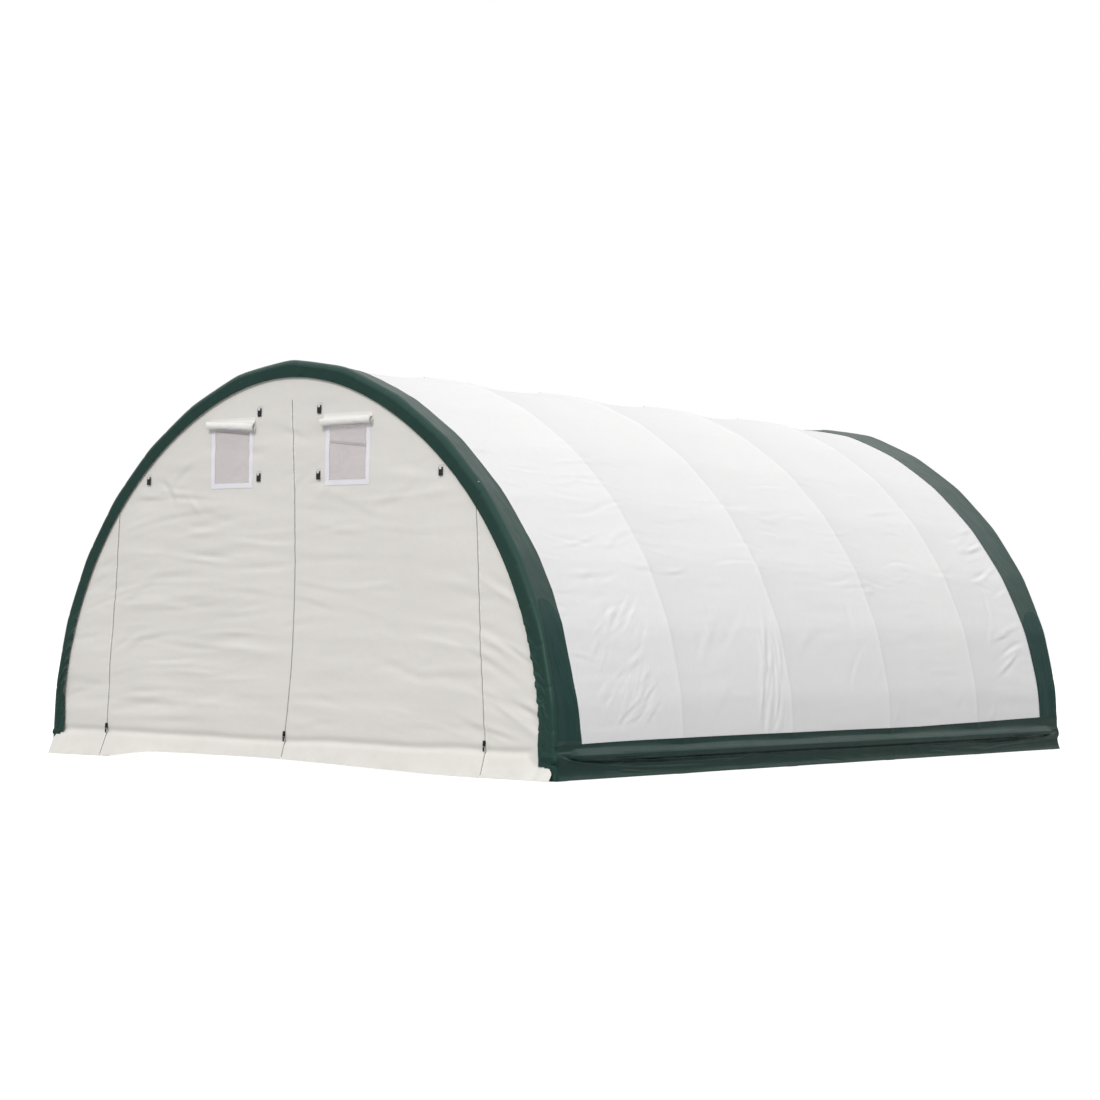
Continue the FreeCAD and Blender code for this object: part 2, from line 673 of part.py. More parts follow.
def make_zip_tapes():
    ys = (-WALL_OUT - 0.2 - ZIP_TAPE_THICK, -WALL_OUT - 0.2)
    low, high = SKIRT_Z + 20, DOOR_TOP - 10
    inner, outer = ZIP_GAP, ZIP_GAP + ZIP_TAPE
    corners = [(inner, low), (outer, low), (outer, high), (inner, high)]
    side = prism_y([(zip_x(z) + dx, z) for dx, z in corners], *ys)
    centre = box((-ZIP_TAPE, ZIP_TAPE), ys, (DOOR_TOP + 4, CENTRE_ZIP_TOP))
    save("zip_tapes", *both_sides(side), centre)


def slider_and_pull():
    """A zip slider with its bridge, and the pull tab that hangs from the bridge."""
    back = -WALL_OUT - 0.2 - ZIP_TAPE_THICK - 0.4
    body = box((-14, 14), (back - 10, back), (-24, 24))
    body = body.makeFillet(3.0, body.Edges)
    pin_y = back - SLIDER_PIN
    bridge = box((-5, 5), (pin_y - 5, back - 8), (-13, 13))
    eye = rod((-6, pin_y, 0), (6, pin_y, 0), PULL_BAR_R + 0.3)
    tab = box((-9, 9), (pin_y - 1.4, pin_y + 1.4), (-68, 0))
    window = box((-5.6, 5.6), (pin_y - 9, pin_y + 9), (-30, 9))
    bar = rod((-9, pin_y, 0), (9, pin_y, 0), PULL_BAR_R)
    return body.fuse(bridge).cut(eye), tab.cut(window).fuse(bar)


def make_sliders():
    slider, pull = slider_and_pull()
    z = SKIRT_Z + 40
    for name, x in (("centre", 0.0), ("right", zip_x(z)), ("left", -zip_x(z))):
        save("%s_zip_slider" % name, moved(slider, x=x, z=z))
        save("%s_zip_pull" % name, moved(pull, x=x, z=z))


def make_ties():
    straps, buckles = [], []
    for x, z in BUCKLES:
        y = -WALL_OUT - 0.2
        patch = box((x - 26, x + 26), (y - STRAP_THICK, y), (z + 12, z + 62))
        back = y - STRAP_THICK - 0.3
        body = box(
            (x - BUCKLE_WIDE / 2, x + BUCKLE_WIDE / 2),
            (back - BUCKLE_DEEP, back),
            (z - BUCKLE_HIGH / 2, z + BUCKLE_HIGH / 2),
        )
        body = body.makeFillet(3.5, body.Edges)
        slot = box((x - 14, x + 14), (back - 20, back + 5), (z + 17, z + 24.5))
        front = back - BUCKLE_DEEP - 0.3
        bottom, top = z + 18, z + BUCKLE_HIGH / 2 + 0.3
        outer = box((x - 12.5, x + 12.5), (front - STRAP_THICK, y - 0.5), (bottom, top + 2))
        bar = box((x - 13, x + 13), (front, y - STRAP_THICK + 0.2), (bottom + 2, top))
        straps += both_sides(patch.fuse(outer.cut(bar)))
        buckles += both_sides(body.cut(slot))
    save("tie_straps", *straps)
    save("tie_buckles", *buckles)


def star(radius, depth, teeth, y0, y1):
    """A ratchet wheel with saw teeth, on the Y axis."""
    points = []
    for k in range(teeth):
        a = 2 * math.pi * k / teeth
        b = a + 2 * math.pi / teeth * 0.9
        points += [(radius * math.cos(a), radius * math.sin(a))]
        points += [((radius - depth) * math.cos(b), (radius - depth) * math.sin(b))]
    return prism_y(points, y0, y1)


def rail_centre():
    """(x, z) of the right base rail's tube."""
    x, z, (nx, nz) = line_place(RAIL_FACETS)
    reach = HOOP_R + TAB_THICK
    return x + nx * reach, z + nz * reach


def ratchet():
    """Bracket, spool and handle of a right ratchet, with the spool on the Y axis."""
    wall, reach = 4.0, 22.0
    rail_x, rail_z = rail_centre()
    rail_x, rail_z = rail_x - RATCHET_X, rail_z - PIPE_Z
    bore = rod((0, -60, 0), (0, 60, 0), SPOOL_R + SPOOL_CLEAR)
    ends = reach + wall / 2
    bracket = rod((rail_x, -ends, rail_z), (rail_x, ends, rail_z), PURLIN_R + 3.2)
    cheek = [(-22, -20), (60, -20), (rail_x + 14, rail_z), (rail_x - 14, rail_z), (20, 24), (-22, 24)]
    for s in (-reach, reach):
        bracket = bracket.fuse(prism_y(cheek, s - wall / 2, s + wall / 2))
    for x, z in ((48, -10), (58, 26)):
        bracket = bracket.fuse(rod((x, -ends, z), (x, ends, z), 4.0))
    clear = rod((rail_x, -40, rail_z), (rail_x, 40, rail_z), PURLIN_R + CLAMP_CLEAR)
    bracket = bracket.cut(clear).cut(bore)
    spool = rod((0, -42, 0), (0, 42, 0), SPOOL_R)
    for s in (-1, 1):
        spool = spool.fuse(star(21.0, 4.0, 12, *sorted((s * 24.6, s * 28.0))))
    spool = spool.cut(box((-1.2, 1.2), (-17, 17), (-10, 10)))
    arms = [box((-13, 13), sorted((s * 29.0, s * 32.0)), (-16, HANDLE_LENGTH)) for s in (-1, 1)]
    grip = rod((0, -34, HANDLE_LENGTH - 8), (0, 34, HANDLE_LENGTH - 8), 8.0)
    handle = arms[0].fuse(arms[1]).fuse(grip).cut(bore)
    return bracket, spool, handle


def make_ratchets():
    bracket, spool, handle = ratchet()
    strap_end = PIPE_X - PIPE_R - 0.4
    half = STRAP_WIDE / 2
    strap = box((RATCHET_X + SPOOL_R + 0.6, strap_end), (-half, half), (-1.5, 1.5))
    strap = strap.fuse(pipe((PIPE_X, -half, 0), (PIPE_X, half, 0), PIPE_R + 2.0, 1.6))
    ends = {
        "front": -COVER_END + FRONT_BAND + RATCHET_FROM_SEAM,
        "rear": COVER_END - REAR_BAND - RATCHET_FROM_SEAM,
    }
    brackets, straps = [], []
    for end, y in ends.items():
        for side, turned in (("right", lambda s: s), ("left", mirrored)):
            place = {"x": RATCHET_X, "y": y, "z": PIPE_Z}
            brackets.append(turned(moved(bracket, **place)))
            straps.append(turned(moved(strap, y=y, z=PIPE_Z)))
            save("%s_%s_ratchet_spool" % (end, side), turned(moved(spool, **place)))
            save("%s_%s_ratchet_handle" % (end, side), turned(moved(handle, **place)))
    save("ratchet_brackets", *brackets)
    save("ratchet_straps", *straps)


def main():
    os.makedirs("parts", exist_ok=True)
    make_hoops()
    make_sleeves()
    make_splice_bolts()
    make_base_plates()
    make_purlins()
    make_end_frames()
    make_cover()
    make_front_wall()
    make_rear_wall()
    make_vents()
    make_zip_tapes()
    make_sliders()
    make_ties()
    make_ratchets()


main()
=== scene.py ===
import json
import math

import bpy
import numpy as np
from mathutils import Matrix, Vector


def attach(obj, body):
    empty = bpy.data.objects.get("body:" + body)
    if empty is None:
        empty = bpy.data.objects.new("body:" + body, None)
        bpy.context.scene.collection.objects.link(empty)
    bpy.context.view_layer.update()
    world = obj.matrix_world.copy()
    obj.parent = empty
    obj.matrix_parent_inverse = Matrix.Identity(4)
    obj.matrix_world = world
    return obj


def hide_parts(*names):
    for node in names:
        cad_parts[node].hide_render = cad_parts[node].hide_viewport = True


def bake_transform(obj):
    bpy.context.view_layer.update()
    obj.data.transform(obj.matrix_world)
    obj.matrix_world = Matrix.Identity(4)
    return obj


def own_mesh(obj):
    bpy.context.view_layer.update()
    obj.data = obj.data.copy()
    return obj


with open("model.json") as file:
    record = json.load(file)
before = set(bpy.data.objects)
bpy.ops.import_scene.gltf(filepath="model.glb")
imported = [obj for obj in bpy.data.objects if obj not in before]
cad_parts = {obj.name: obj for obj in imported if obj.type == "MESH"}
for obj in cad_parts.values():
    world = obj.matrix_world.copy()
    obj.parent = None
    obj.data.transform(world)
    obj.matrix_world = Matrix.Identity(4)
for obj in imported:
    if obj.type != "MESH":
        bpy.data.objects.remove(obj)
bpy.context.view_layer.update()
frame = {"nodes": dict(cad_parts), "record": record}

# The hoop curve, in metres: straight leg, side arc, crown arc, bent in equal straight runs
HALF_WIDTH = 3.012
CROWN = 3.622
CROWN_R = 2.05
LEG = 0.2
FACETS = 8
COVER = 0.038  # outer face of the cover, outward of the hoop centreline
HOOPS = 6
BAY = 1.83
HALF_LENGTH = BAY * (HOOPS - 1) / 2
WALL_Y = 4.62
BAND_TOP = 0.30
SHEET = 0.0012
SIDES = ((1, "right"), (-1, "left"))


# ---- curve of the hoops
RISE = CROWN - CROWN_R - LEG
SIDE_R = (HALF_WIDTH**2 + RISE**2 - CROWN_R**2) / (2 * (HALF_WIDTH - CROWN_R))
SIDE_X = HALF_WIDTH - SIDE_R
SIDE_ANGLE = math.atan2(RISE, -SIDE_X)
HALF_CURVE = LEG + SIDE_R * SIDE_ANGLE + CROWN_R * (math.pi / 2 - SIDE_ANGLE)
FACET = HALF_CURVE / FACETS


def curve_point(s):
    if s <= LEG:
        return HALF_WIDTH, s
    s -= LEG
    if s <= SIDE_R * SIDE_ANGLE:
        a = s / SIDE_R
        return SIDE_X + SIDE_R * math.cos(a), LEG + SIDE_R * math.sin(a)
    a = SIDE_ANGLE + (s - SIDE_R * SIDE_ANGLE) / CROWN_R
    return CROWN_R * math.cos(a), CROWN - CROWN_R + CROWN_R * math.sin(a)


def smooth_rows(values, sigma, pitch):
    """Gaussian smoothing along axis 0, ends held by reflection about the end value."""
    reach = max(1, int(3 * sigma / pitch))
    kernel = np.exp(-0.5 * (np.arange(-reach, reach + 1) * pitch / sigma) ** 2)
    kernel /= kernel.sum()
    low = 2 * values[:1] - values[1 : reach + 1][::-1]
    high = 2 * values[-1:] - values[-reach - 1 : -1][::-1]
    padded = np.concatenate([low, values, high])
    return np.stack(
        [np.convolve(padded[:, k], kernel, mode="valid") for k in range(values.shape[1])], axis=1
    )


def hoop_line(rounding):
    """The bent hoop line as dense points from the right foot over the ridge to the left foot."""
    right = [curve_point(FACET * k) for k in range(FACETS + 1)]
    corners = np.array(right + [(-x, z) for x, z in reversed(right[:-1])])
    knots = np.arange(len(corners)) * FACET
    s = np.arange(0, knots[-1] + 1e-6, 0.01)
    line = np.stack([np.interp(s, knots, corners[:, k]) for k in (0, 1)], axis=1)
    return s, smooth_rows(line, rounding, 0.01)


ARC, SHARP_LINE = hoop_line(0.05)
_, SOFT_LINE = hoop_line(0.32)
ARCH_LENGTH = ARC[-1]
HOOP_YS = [-HALF_LENGTH + BAY * i for i in range(HOOPS)]


def arch_at(s, softness=0.0):
    """Points and outward normals of the hoop line at arc lengths s; softness 0 bent, 1 round."""
    soft = np.asarray(softness)
    sharp_x, sharp_z = (np.interp(s, ARC, SHARP_LINE[:, k]) for k in (0, 1))
    soft_x, soft_z = (np.interp(s, ARC, SOFT_LINE[:, k]) for k in (0, 1))
    x = sharp_x * (1 - soft) + soft_x * soft
    z = sharp_z * (1 - soft) + soft_z * soft
    d = np.gradient(SOFT_LINE, axis=0)
    d /= np.linalg.norm(d, axis=1)[:, None]
    nx = np.interp(s, ARC, d[:, 1])
    nz = np.interp(s, ARC, -d[:, 0])
    return x, z, nx, nz


def arc_at_height(z):
    """Arc length on the right side where the hoop line reaches height z."""
    half = len(ARC) // 2
    return float(np.interp(z, SHARP_LINE[:half, 1], ARC[:half]))


def arch_height(x):
    """Height of the hoop line above each x."""
    px, pz, _, _ = arch_at(ARC[: len(ARC) // 2 + 1])
    order = np.argsort(px)
    return np.interp(np.abs(x), px[order], pz[order])


# ---- folds and creases
def noise(x, y, seed):
    """Smooth value noise from -1 to 1 on a unit grid."""
    xi, yi = np.floor(x).astype(int), np.floor(y).astype(int)
    fx, fy = x - xi, y - yi
    fx, fy = fx * fx * (3 - 2 * fx), fy * fy * (3 - 2 * fy)

    def corner(i, j):
        h = np.sin(i * 127.1 + j * 311.7 + seed * 74.7) * 43758.5453
        return (h - np.floor(h)) * 2 - 1

    low = corner(xi, yi) * (1 - fx) + corner(xi + 1, yi) * fx
    high = corner(xi, yi + 1) * (1 - fx) + corner(xi + 1, yi + 1) * fx
    return low * (1 - fy) + high * fy


def creases(p, q, seed, count, region, angle, spread, length, width, depth, bow=0.25):
    """Folds scattered over region = (p0, p1, q0, q1): long soft ridges with a sharper side."""
    rng = np.random.RandomState(seed)
    out = np.zeros_like(p)
    for _ in range(count):
        cp, cq = rng.uniform(*region[:2]), rng.uniform(*region[2:])
        a = math.radians(rng.normal(angle, spread))
        long = length * rng.uniform(0.6, 1.4)
        wide = width * rng.uniform(0.7, 1.4)
        high = depth * rng.uniform(0.4, 1.2) * rng.choice([-1, 1])
        curve = rng.uniform(-bow, bow) / long
        dp, dq = p - cp, q - cq
        near = (np.abs(dp) < 2.2 * long) & (np.abs(dq) < 2.2 * long)
        along = (dp * math.cos(a) + dq * math.sin(a))[near]
        across = (-dp * math.sin(a) + dq * math.cos(a))[near] - curve * along**2
        t = across / wide
        shape = np.exp(-(t**2)) - 0.55 * np.exp(-((t - 1.5) ** 2) / 1.2)
        out[near] += high * shape * np.exp(-((along / long) ** 2) * 1.6)
    return out


def step(x, low, high):
    """0 below low, 1 above high, smooth between."""
    t = np.clip((x - low) / (high - low), 0, 1)
    return t * t * (3 - 2 * t)


# ---- meshes
def new_object(name, vertices, faces, material, smooth=True):
    mesh = bpy.data.meshes.new(name)
    mesh.from_pydata(np.asarray(vertices, float).reshape(-1, 3).tolist(), [], faces)
    mesh.validate()
    mesh.update()
    if smooth:
        mesh.polygons.foreach_set("use_smooth", [True] * len(mesh.polygons))
        mesh.set_sharp_from_angle(angle=math.radians(65))
    obj = bpy.data.objects.new(name, mesh)
    bpy.context.collection.objects.link(obj)
    mesh.materials.append(material)
    return obj


def place(obj, slot, body=None, node=None, **cloth):
    """Attach the piece to its body and hide the CAD node it stands for. The slot and cloth are not
    used.
    """
    if body:
        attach(obj, body)
    if node:
        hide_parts(node)


def grid_faces(rows, cols, keep, base=0, flip=False):
    i, j = np.meshgrid(np.arange(rows - 1), np.arange(cols - 1), indexing="ij")
    k = (i[keep] * cols + j[keep]).ravel() + base
    quads = np.stack([k, k + 1, k + cols + 1, k + cols], 1)
    return (quads[:, ::-1] if flip else quads).tolist()


def grid_normals(points):
    n = np.cross(np.gradient(points, axis=0), np.gradient(points, axis=1))
    return n / np.maximum(np.linalg.norm(n, axis=2), 1e-12)[:, :, None]


def sheet(name, points, material, thickness=SHEET, keep=None, lining=None):
    """Closed cloth from a grid of points, its front face on the points, thickness behind it.
    The front is where rows x columns turn by the right hand. keep masks the cells."""
    rows, cols = points.shape[:2]
    back = points - grid_normals(points) * thickness
    cells = np.ones((rows - 1, cols - 1), bool) if keep is None else keep
    shift = rows * cols
    faces = grid_faces(rows, cols, cells, flip=True)
    faces += grid_faces(rows, cols, cells, base=shift)
    padded = np.zeros((rows + 1, cols + 1), bool)
    padded[1:-1, 1:-1] = cells
    for i in range(rows):
        for j in np.nonzero(padded[i, 1:-1] != padded[i + 1, 1:-1])[0]:
            a, b = i * cols + j, i * cols + j + 1
            if padded[i, j + 1]:
                a, b = b, a
            faces.append([a, b, b + shift, a + shift])
    for j in range(cols):
        for i in np.nonzero(padded[1:-1, j] != padded[1:-1, j + 1])[0]:
            a, b = i * cols + j, (i + 1) * cols + j
            if not padded[i + 1, j]:
                a, b = b, a
            faces.append([a, b, b + shift, a + shift])
    vertices = np.concatenate([points.reshape(-1, 3), back.reshape(-1, 3)])
    used = np.zeros(len(vertices), bool)
    for f in faces:
        used[f] = True
    index = np.cumsum(used) - 1
    faces = [[int(index[k]) for k in f] for f in faces]
    obj = new_object(name, vertices[used], faces, material)
    if lining:
        obj.data.materials.append(lining)
        count = int(cells.sum())
        index = np.zeros(len(obj.data.polygons), int)
        index[:count] = 1
        obj.data.polygons.foreach_set("material_index", index.tolist())
    return obj


BOX_FACES = [[0, 1, 3, 2], [4, 6, 7, 5], [0, 4, 5, 1], [2, 3, 7, 6], [0, 2, 6, 4], [1, 5, 7, 3]]


def small_boxes(name, centres, axes, sizes, material):
    """Many small blocks in one mesh; axes gives each block's three unit directions."""
    signs = np.array([[a, b, c] for a in (-1, 1) for b in (-1, 1) for c in (-1, 1)]) / 2
    vertices, faces = [], []
    for k, (c, ax) in enumerate(zip(centres, axes)):
        vertices.append(np.asarray(c) + (signs * np.asarray(sizes)) @ np.asarray(ax))
        faces += [[8 * k + i for i in f] for f in BOX_FACES]
    return new_object(name, np.concatenate(vertices), faces, material, smooth=False)


# ---- materials
def material_nodes(name):
    """A new node material, its tree, its Principled node and its object coordinates."""
    mat = bpy.data.materials.new(name)
    mat.use_nodes = True
    tree = mat.node_tree
    coord = add(tree, "ShaderNodeTexCoord").outputs["Object"]
    return mat, tree, tree.nodes["Principled BSDF"], coord


def link(tree, a, b):
    tree.links.new(a, b)


def add(tree, kind, **values):
    node = tree.nodes.new(kind)
    for key, value in values.items():
        if key in node.inputs:
            node.inputs[key].default_value = value
        else:
            setattr(node, key, value)
    return node


def put(node, values):
    for key, value in values.items():
        node.inputs[key].default_value = value


def darker(colour, share):
    return tuple(c * share for c in colour)


def noise_node(tree, coord, scale, detail=3.0, rough=0.5):
    n = add(tree, "ShaderNodeTexNoise", Scale=scale, Detail=detail, Roughness=rough)
    link(tree, coord, n.inputs["Vector"])
    return n.outputs["Fac"]


def map_range(tree, value, values):
    """value through a Map Range node; values holds From Min, From Max, To Min and To Max."""
    m = add(tree, "ShaderNodeMapRange")
    put(m, values)
    link(tree, value, m.inputs["Value"])
    return m.outputs["Result"]


def ramp(tree, value, low, high):
    return map_range(tree, value, {"From Min": low, "From Max": high})


def level(tree, value, low, high):
    return map_range(tree, value, {"To Min": low, "To Max": high})


def maths(tree, operation, a, b):
    m = add(tree, "ShaderNodeMath", operation=operation)
    link(tree, a, m.inputs[0])
    link(tree, b, m.inputs[1])
    return m.outputs[0]


def mix_colour(tree, factor, a, b):
    m = add(tree, "ShaderNodeMix", data_type="RGBA")
    for slot, value in ((0, factor), (6, a), (7, b)):
        if hasattr(value, "links"):
            link(tree, value, m.inputs[slot])
        else:
            m.inputs[slot].default_value = (*value, 1) if slot else value
    return m.outputs[2]


def bump(tree, height, strength, distance, under=None):
    b = add(tree, "ShaderNodeBump", Strength=strength, Distance=distance)
    link(tree, height, b.inputs["Height"])
    if under:
        link(tree, under, b.inputs["Normal"])
    return b.outputs[0]


RIBS_PER_SCALE = 0.314  # a Wave texture of Scale 1 repeats every 0.314 units


def weave_height(tree, coord, pitch):
    """Height of a plain tape weave seen from any side: three axes of fine ribs."""
    heights = []
    for axis in "XYZ":
        scale = RIBS_PER_SCALE / pitch
        wave = add(tree, "ShaderNodeTexWave", bands_direction=axis, Scale=scale)
        link(tree, coord, wave.inputs["Vector"])
        heights.append(wave.outputs["Fac"])
    return maths(tree, "MAXIMUM", maths(tree, "MAXIMUM", *heights[:2]), heights[2])


DUST = (0.42, 0.39, 0.34)
DUST_TOP = 0.28  # height that the dust reaches, m


def coated_fabric(name, colour, shade, rough=0.45, crumple=0.4, specular=0.4, sheen=0.1,
                  dirt=0.4, gloss_tint=(1, 1, 1), pitch=0.003):
    """Woven tape sheet under a clear coating: weave, fine crumple, uneven gloss, faint dirt."""
    mat, tree, bsdf, coord = material_nodes(name)
    broad = ramp(tree, noise_node(tree, coord, 1.1, 4.0), 0.3, 0.7)
    fine = ramp(tree, noise_node(tree, coord, 14.0, 5.0, 0.6), 0.3, 0.75)
    tone = mix_colour(tree, broad, colour, shade)
    speckled = mix_colour(tree, fine, tone, darker(colour, 0.94))
    tint = mix_colour(tree, 0.5, tone, speckled)
    split = add(tree, "ShaderNodeSeparateXYZ")
    link(tree, coord, split.inputs[0])
    low = ramp(tree, split.outputs["Z"], DUST_TOP, 0.0)
    patches = ramp(tree, noise_node(tree, coord, 6.0, 5.0, 0.65), 0.45, 0.9)
    dust = maths(tree, "MULTIPLY", low, patches)
    grey = tuple((1 - dirt) * c + dirt * d for c, d in zip(colour, DUST))
    link(tree, mix_colour(tree, dust, tint, grey), bsdf.inputs["Base Color"])
    gloss = level(tree, noise_node(tree, coord, 5.0, 4.0), rough - 0.06, rough + 0.08)
    link(tree, gloss, bsdf.inputs["Roughness"])
    put(bsdf, {
        "Specular IOR Level": specular, "Specular Tint": (*gloss_tint, 1),
        "Sheen Weight": sheen, "Sheen Roughness": 0.5,
    })
    weave = bump(tree, weave_height(tree, coord, pitch), 0.25, 0.0004)
    crush = bump(tree, noise_node(tree, coord, 9.0, 6.0, 0.55), crumple, 0.006, under=weave)
    link(tree, crush, bsdf.inputs["Normal"])
    mat.diffuse_color = (*colour, 1)
    return mat


def mesh_fabric(name, colour, cover):
    """Open screen: fine net of threads over transparent gaps."""
    mat, tree, bsdf, coord = material_nodes(name)
    net = weave_height(tree, coord, 0.0035)
    broad = ramp(tree, noise_node(tree, coord, 4.0), 0.3, 0.7)
    link(tree, mix_colour(tree, broad, colour, darker(colour, 0.92)), bsdf.inputs["Base Color"])
    link(tree, level(tree, net, cover - 0.03, cover + 0.03), bsdf.inputs["Alpha"])
    put(bsdf, {"Roughness": 0.7})
    link(tree, bump(tree, net, 0.3, 0.0004), bsdf.inputs["Normal"])
    return mat


def metal(name, colour, rough, spangle=0.0):
    """Zinc: spangled grain, brushed wear, a little dull oxide."""
    mat, tree, bsdf, coord = material_nodes(name)
    cells = add(tree, "ShaderNodeTexVoronoi", Scale=70.0)
    link(tree, coord, cells.inputs["Vector"])
    oxide = ramp(tree, noise_node(tree, coord, 7.0, 6.0, 0.6), 0.35, 0.8)
    tone = mix_colour(tree, oxide, colour, darker(colour, 0.72))
    grain = mix_colour(tree, cells.outputs["Distance"], tone, darker(colour, 0.85))
    link(tree, mix_colour(tree, spangle, tone, grain), bsdf.inputs["Base Color"])
    put(bsdf, {"Metallic": 0.9})
    gloss = level(tree, noise_node(tree, coord, 22.0, 4.0), rough - 0.08, rough + 0.15)
    link(tree, gloss, bsdf.inputs["Roughness"])
    scratches = bump(tree, noise_node(tree, coord, 160.0, 3.0, 0.6), 0.15, 0.0006)
    link(tree, scratches, bsdf.inputs["Normal"])
    return mat


def plastic(name, colour, rough):
    """Moulded plastic or enamel, a little worn, with a fine grain."""
    mat, tree, bsdf, coord = material_nodes(name)
    wear = ramp(tree, noise_node(tree, coord, 60.0, 5.0, 0.6), 0.4, 0.9)
    worn = tuple(min(1, c * 1.6 + 0.01) for c in colour)
    link(tree, mix_colour(tree, wear, colour, worn), bsdf.inputs["Base Color"])
    put(bsdf, {"Roughness": rough})
    grain = bump(tree, noise_node(tree, coord, 500.0, 2.0), 0.25, 0.0003)
    link(tree, grain, bsdf.inputs["Normal"])
    return mat


def webbing(name, colour):
    """Ribbed woven strap."""
    mat, tree, bsdf, coord = material_nodes(name)
    ribs = weave_height(tree, coord, 0.0022)
    # the grooves between the ribs are painted darker: painted shade in the weave
    link(tree, mix_colour(tree, ribs, darker(colour, 0.7), colour), bsdf.inputs["Base Color"])
    put(bsdf, {"Roughness": 0.85})
    link(tree, bump(tree, ribs, 0.6, 0.0006), bsdf.inputs["Normal"])
    return mat


def green_fabric(name, colour, shade, tint=(0.66, 1.0, 0.90), **values):
    return coated_fabric(name, colour, shade, sheen=0.0, dirt=0.03, gloss_tint=tint, **values)


WHITE = coated_fabric("white_cover", (0.81,) * 3, (0.785, 0.785, 0.787), rough=0.5, crumple=0.30)
LINING = coated_fabric(
    "cover_underside", (0.74, 0.73, 0.725), (0.71, 0.70, 0.695), rough=0.6, crumple=0.30
)
# painted glow: the underside of the roof cloth emits light of its own, standing in for daylight
# that comes through the cloth
UNDERSIDE_GLOW = {"Emission Color": (1.0, 0.975, 0.965, 1), "Emission Strength": 0.37}
put(LINING.node_tree.nodes["Principled BSDF"], UNDERSIDE_GLOW)
IVORY = coated_fabric(
    "ivory_wall", (0.735, 0.715, 0.68), (0.70, 0.68, 0.645), rough=0.55, crumple=0.45
)
PALE = coated_fabric("pale_flap", (0.80, 0.79, 0.76), (0.77, 0.76, 0.735), rough=0.5, crumple=0.3)
GREEN = green_fabric(
    "green_band", (0.011, 0.036, 0.028), (0.008, 0.029, 0.023), rough=0.36, crumple=0.30,
    specular=0.60,
)
# the hem's green is a slightly darker, less glossy copy of the band's green: painted shade low
# down by the ground
HEM = green_fabric(
    "green_hem", (0.010, 0.034, 0.027), (0.008, 0.028, 0.022), rough=0.33, crumple=0.30,
    specular=0.34,
)
PATCH = green_fabric(
    "green_patch", (0.011, 0.042, 0.036), (0.009, 0.034, 0.030), rough=0.42, crumple=0.35,
    specular=0.32, tint=(0.55, 1.0, 0.92),
)
SCREEN = mesh_fabric("vent_mesh", (0.64, 0.58, 0.59), 0.38)
BORDER = coated_fabric("vent_border", (0.80, 0.79, 0.84), (0.775, 0.765, 0.815), rough=0.5)
ZIP = plastic("zip_teeth", (0.31, 0.30, 0.285), 0.5)
TAPE = webbing("zip_tape", (0.80, 0.78, 0.745))
BLACK = plastic("black_plastic", (0.012, 0.012, 0.013), 0.42)
ENAMEL = plastic("dark_enamel", (0.014, 0.014, 0.015), 0.3)
GREY_STRAP = webbing("pale_webbing", (0.66, 0.655, 0.63))
TUBE = metal("galvanised_tube", (0.60, 0.61, 0.62), 0.42, spangle=0.6)
ZINC = metal("zinc_plate", (0.68, 0.69, 0.70), 0.33)
EYELET = metal("eyelet_metal", (0.09, 0.10, 0.095), 0.42)


# ---- roof cover
SAG = 0.034


def bay_share(y):
    """0 on a hoop, 1 in the middle of a bay."""
    t = np.clip((y + HALF_LENGTH) / BAY, 0, HOOPS - 1)
    f = t - np.floor(t)
    return (4 * f * (1 - f)) ** 0.85


def from_foot(s):
    return np.minimum(s, ARCH_LENGTH - s)


def cover_offset(s, y):
    """Radial place of the cover's outer face: pulled in between hoops, most over the crown."""
    pull = SAG * (0.45 + 0.55 * step(from_foot(s), 0.3, 2.4))
    near = np.abs((y + HALF_LENGTH + BAY / 2) % BAY - BAY / 2)
    ridge = 0.0021 * np.exp(-((near / 0.036) ** 2)) * (np.abs(y) < HALF_LENGTH - 0.5)
    return COVER - pull * bay_share(y) + ridge


# seed, count, (height and length region), angle, spread, length, width, depth, bow
COVER_FOLDS = (
    # diagonal folds low in the first bay, then beside its upper edge
    (11, 40, (0.45, 1.50, -3.90, -3.10), 50, 8, 0.18, 0.023, 0.0024, 0.08),
    (12, 8, (1.35, 1.9, -4.05, -3.3), 72, 8, 0.26, 0.028, 0.0026, 0.25),
    # upright folds low in the second bay, and stray ones all along
    (13, 16, (0.35, 1.2, -1.40, -1.00), 14, 8, 0.26, 0.030, 0.0066, 0.25),
    (17, 22, (0.3, 2.2, -2.6, 3.8), 35, 25, 0.26, 0.045, 0.0030, 0.25),
    # lengthwise folds over the shoulder, and short ones beside each end band
    (19, 70, (1.7, 3.4, -4.0, 3.6), 90, 5, 0.34, 0.022, 0.0042, 0.25),
    (23, 17, (0.9, 2.6, 3.55, 3.95), 79, 5, 0.26, 0.024, 0.0075, 0.05),
    (29, 14, (1.0, 4.2, -4.3, -4.05), 95, 8, 0.15, 0.024, 0.0040, 0.25),
)


def cover_field(s, y):
    """Wrinkle height of the cover at arc length s and length y."""
    h = from_foot(s)
    bay = bay_share(y)
    side = np.where(s < ARCH_LENGTH / 2, 0.0, 31.7)  # other noise on the left side
    w = 0.0016 * noise(y / 0.60 + side, s / 0.10, 3) * bay
    w += 0.0011 * noise(y / 0.34 + side, s / 0.055, 4) * bay
    for folds in COVER_FOLDS:
        w += creases(h, y, *folds)
    return w * step(h, HEM_ARC - 0.01, HEM_ARC + 0.10)


def cover_points(s, y, lift=0.0, wrinkles=1.0):
    """Points on the outer face of the roof at arc length s and length y (2D arrays)."""
    x, z, nx, nz = arch_at(s, 0.30 + 0.25 * bay_share(y))
    r = cover_offset(s, y) + lift + 0.004
    r = r + cover_field(s, y) * wrinkles
    return np.stack([x + nx * r, y, z + nz * r], axis=-1)


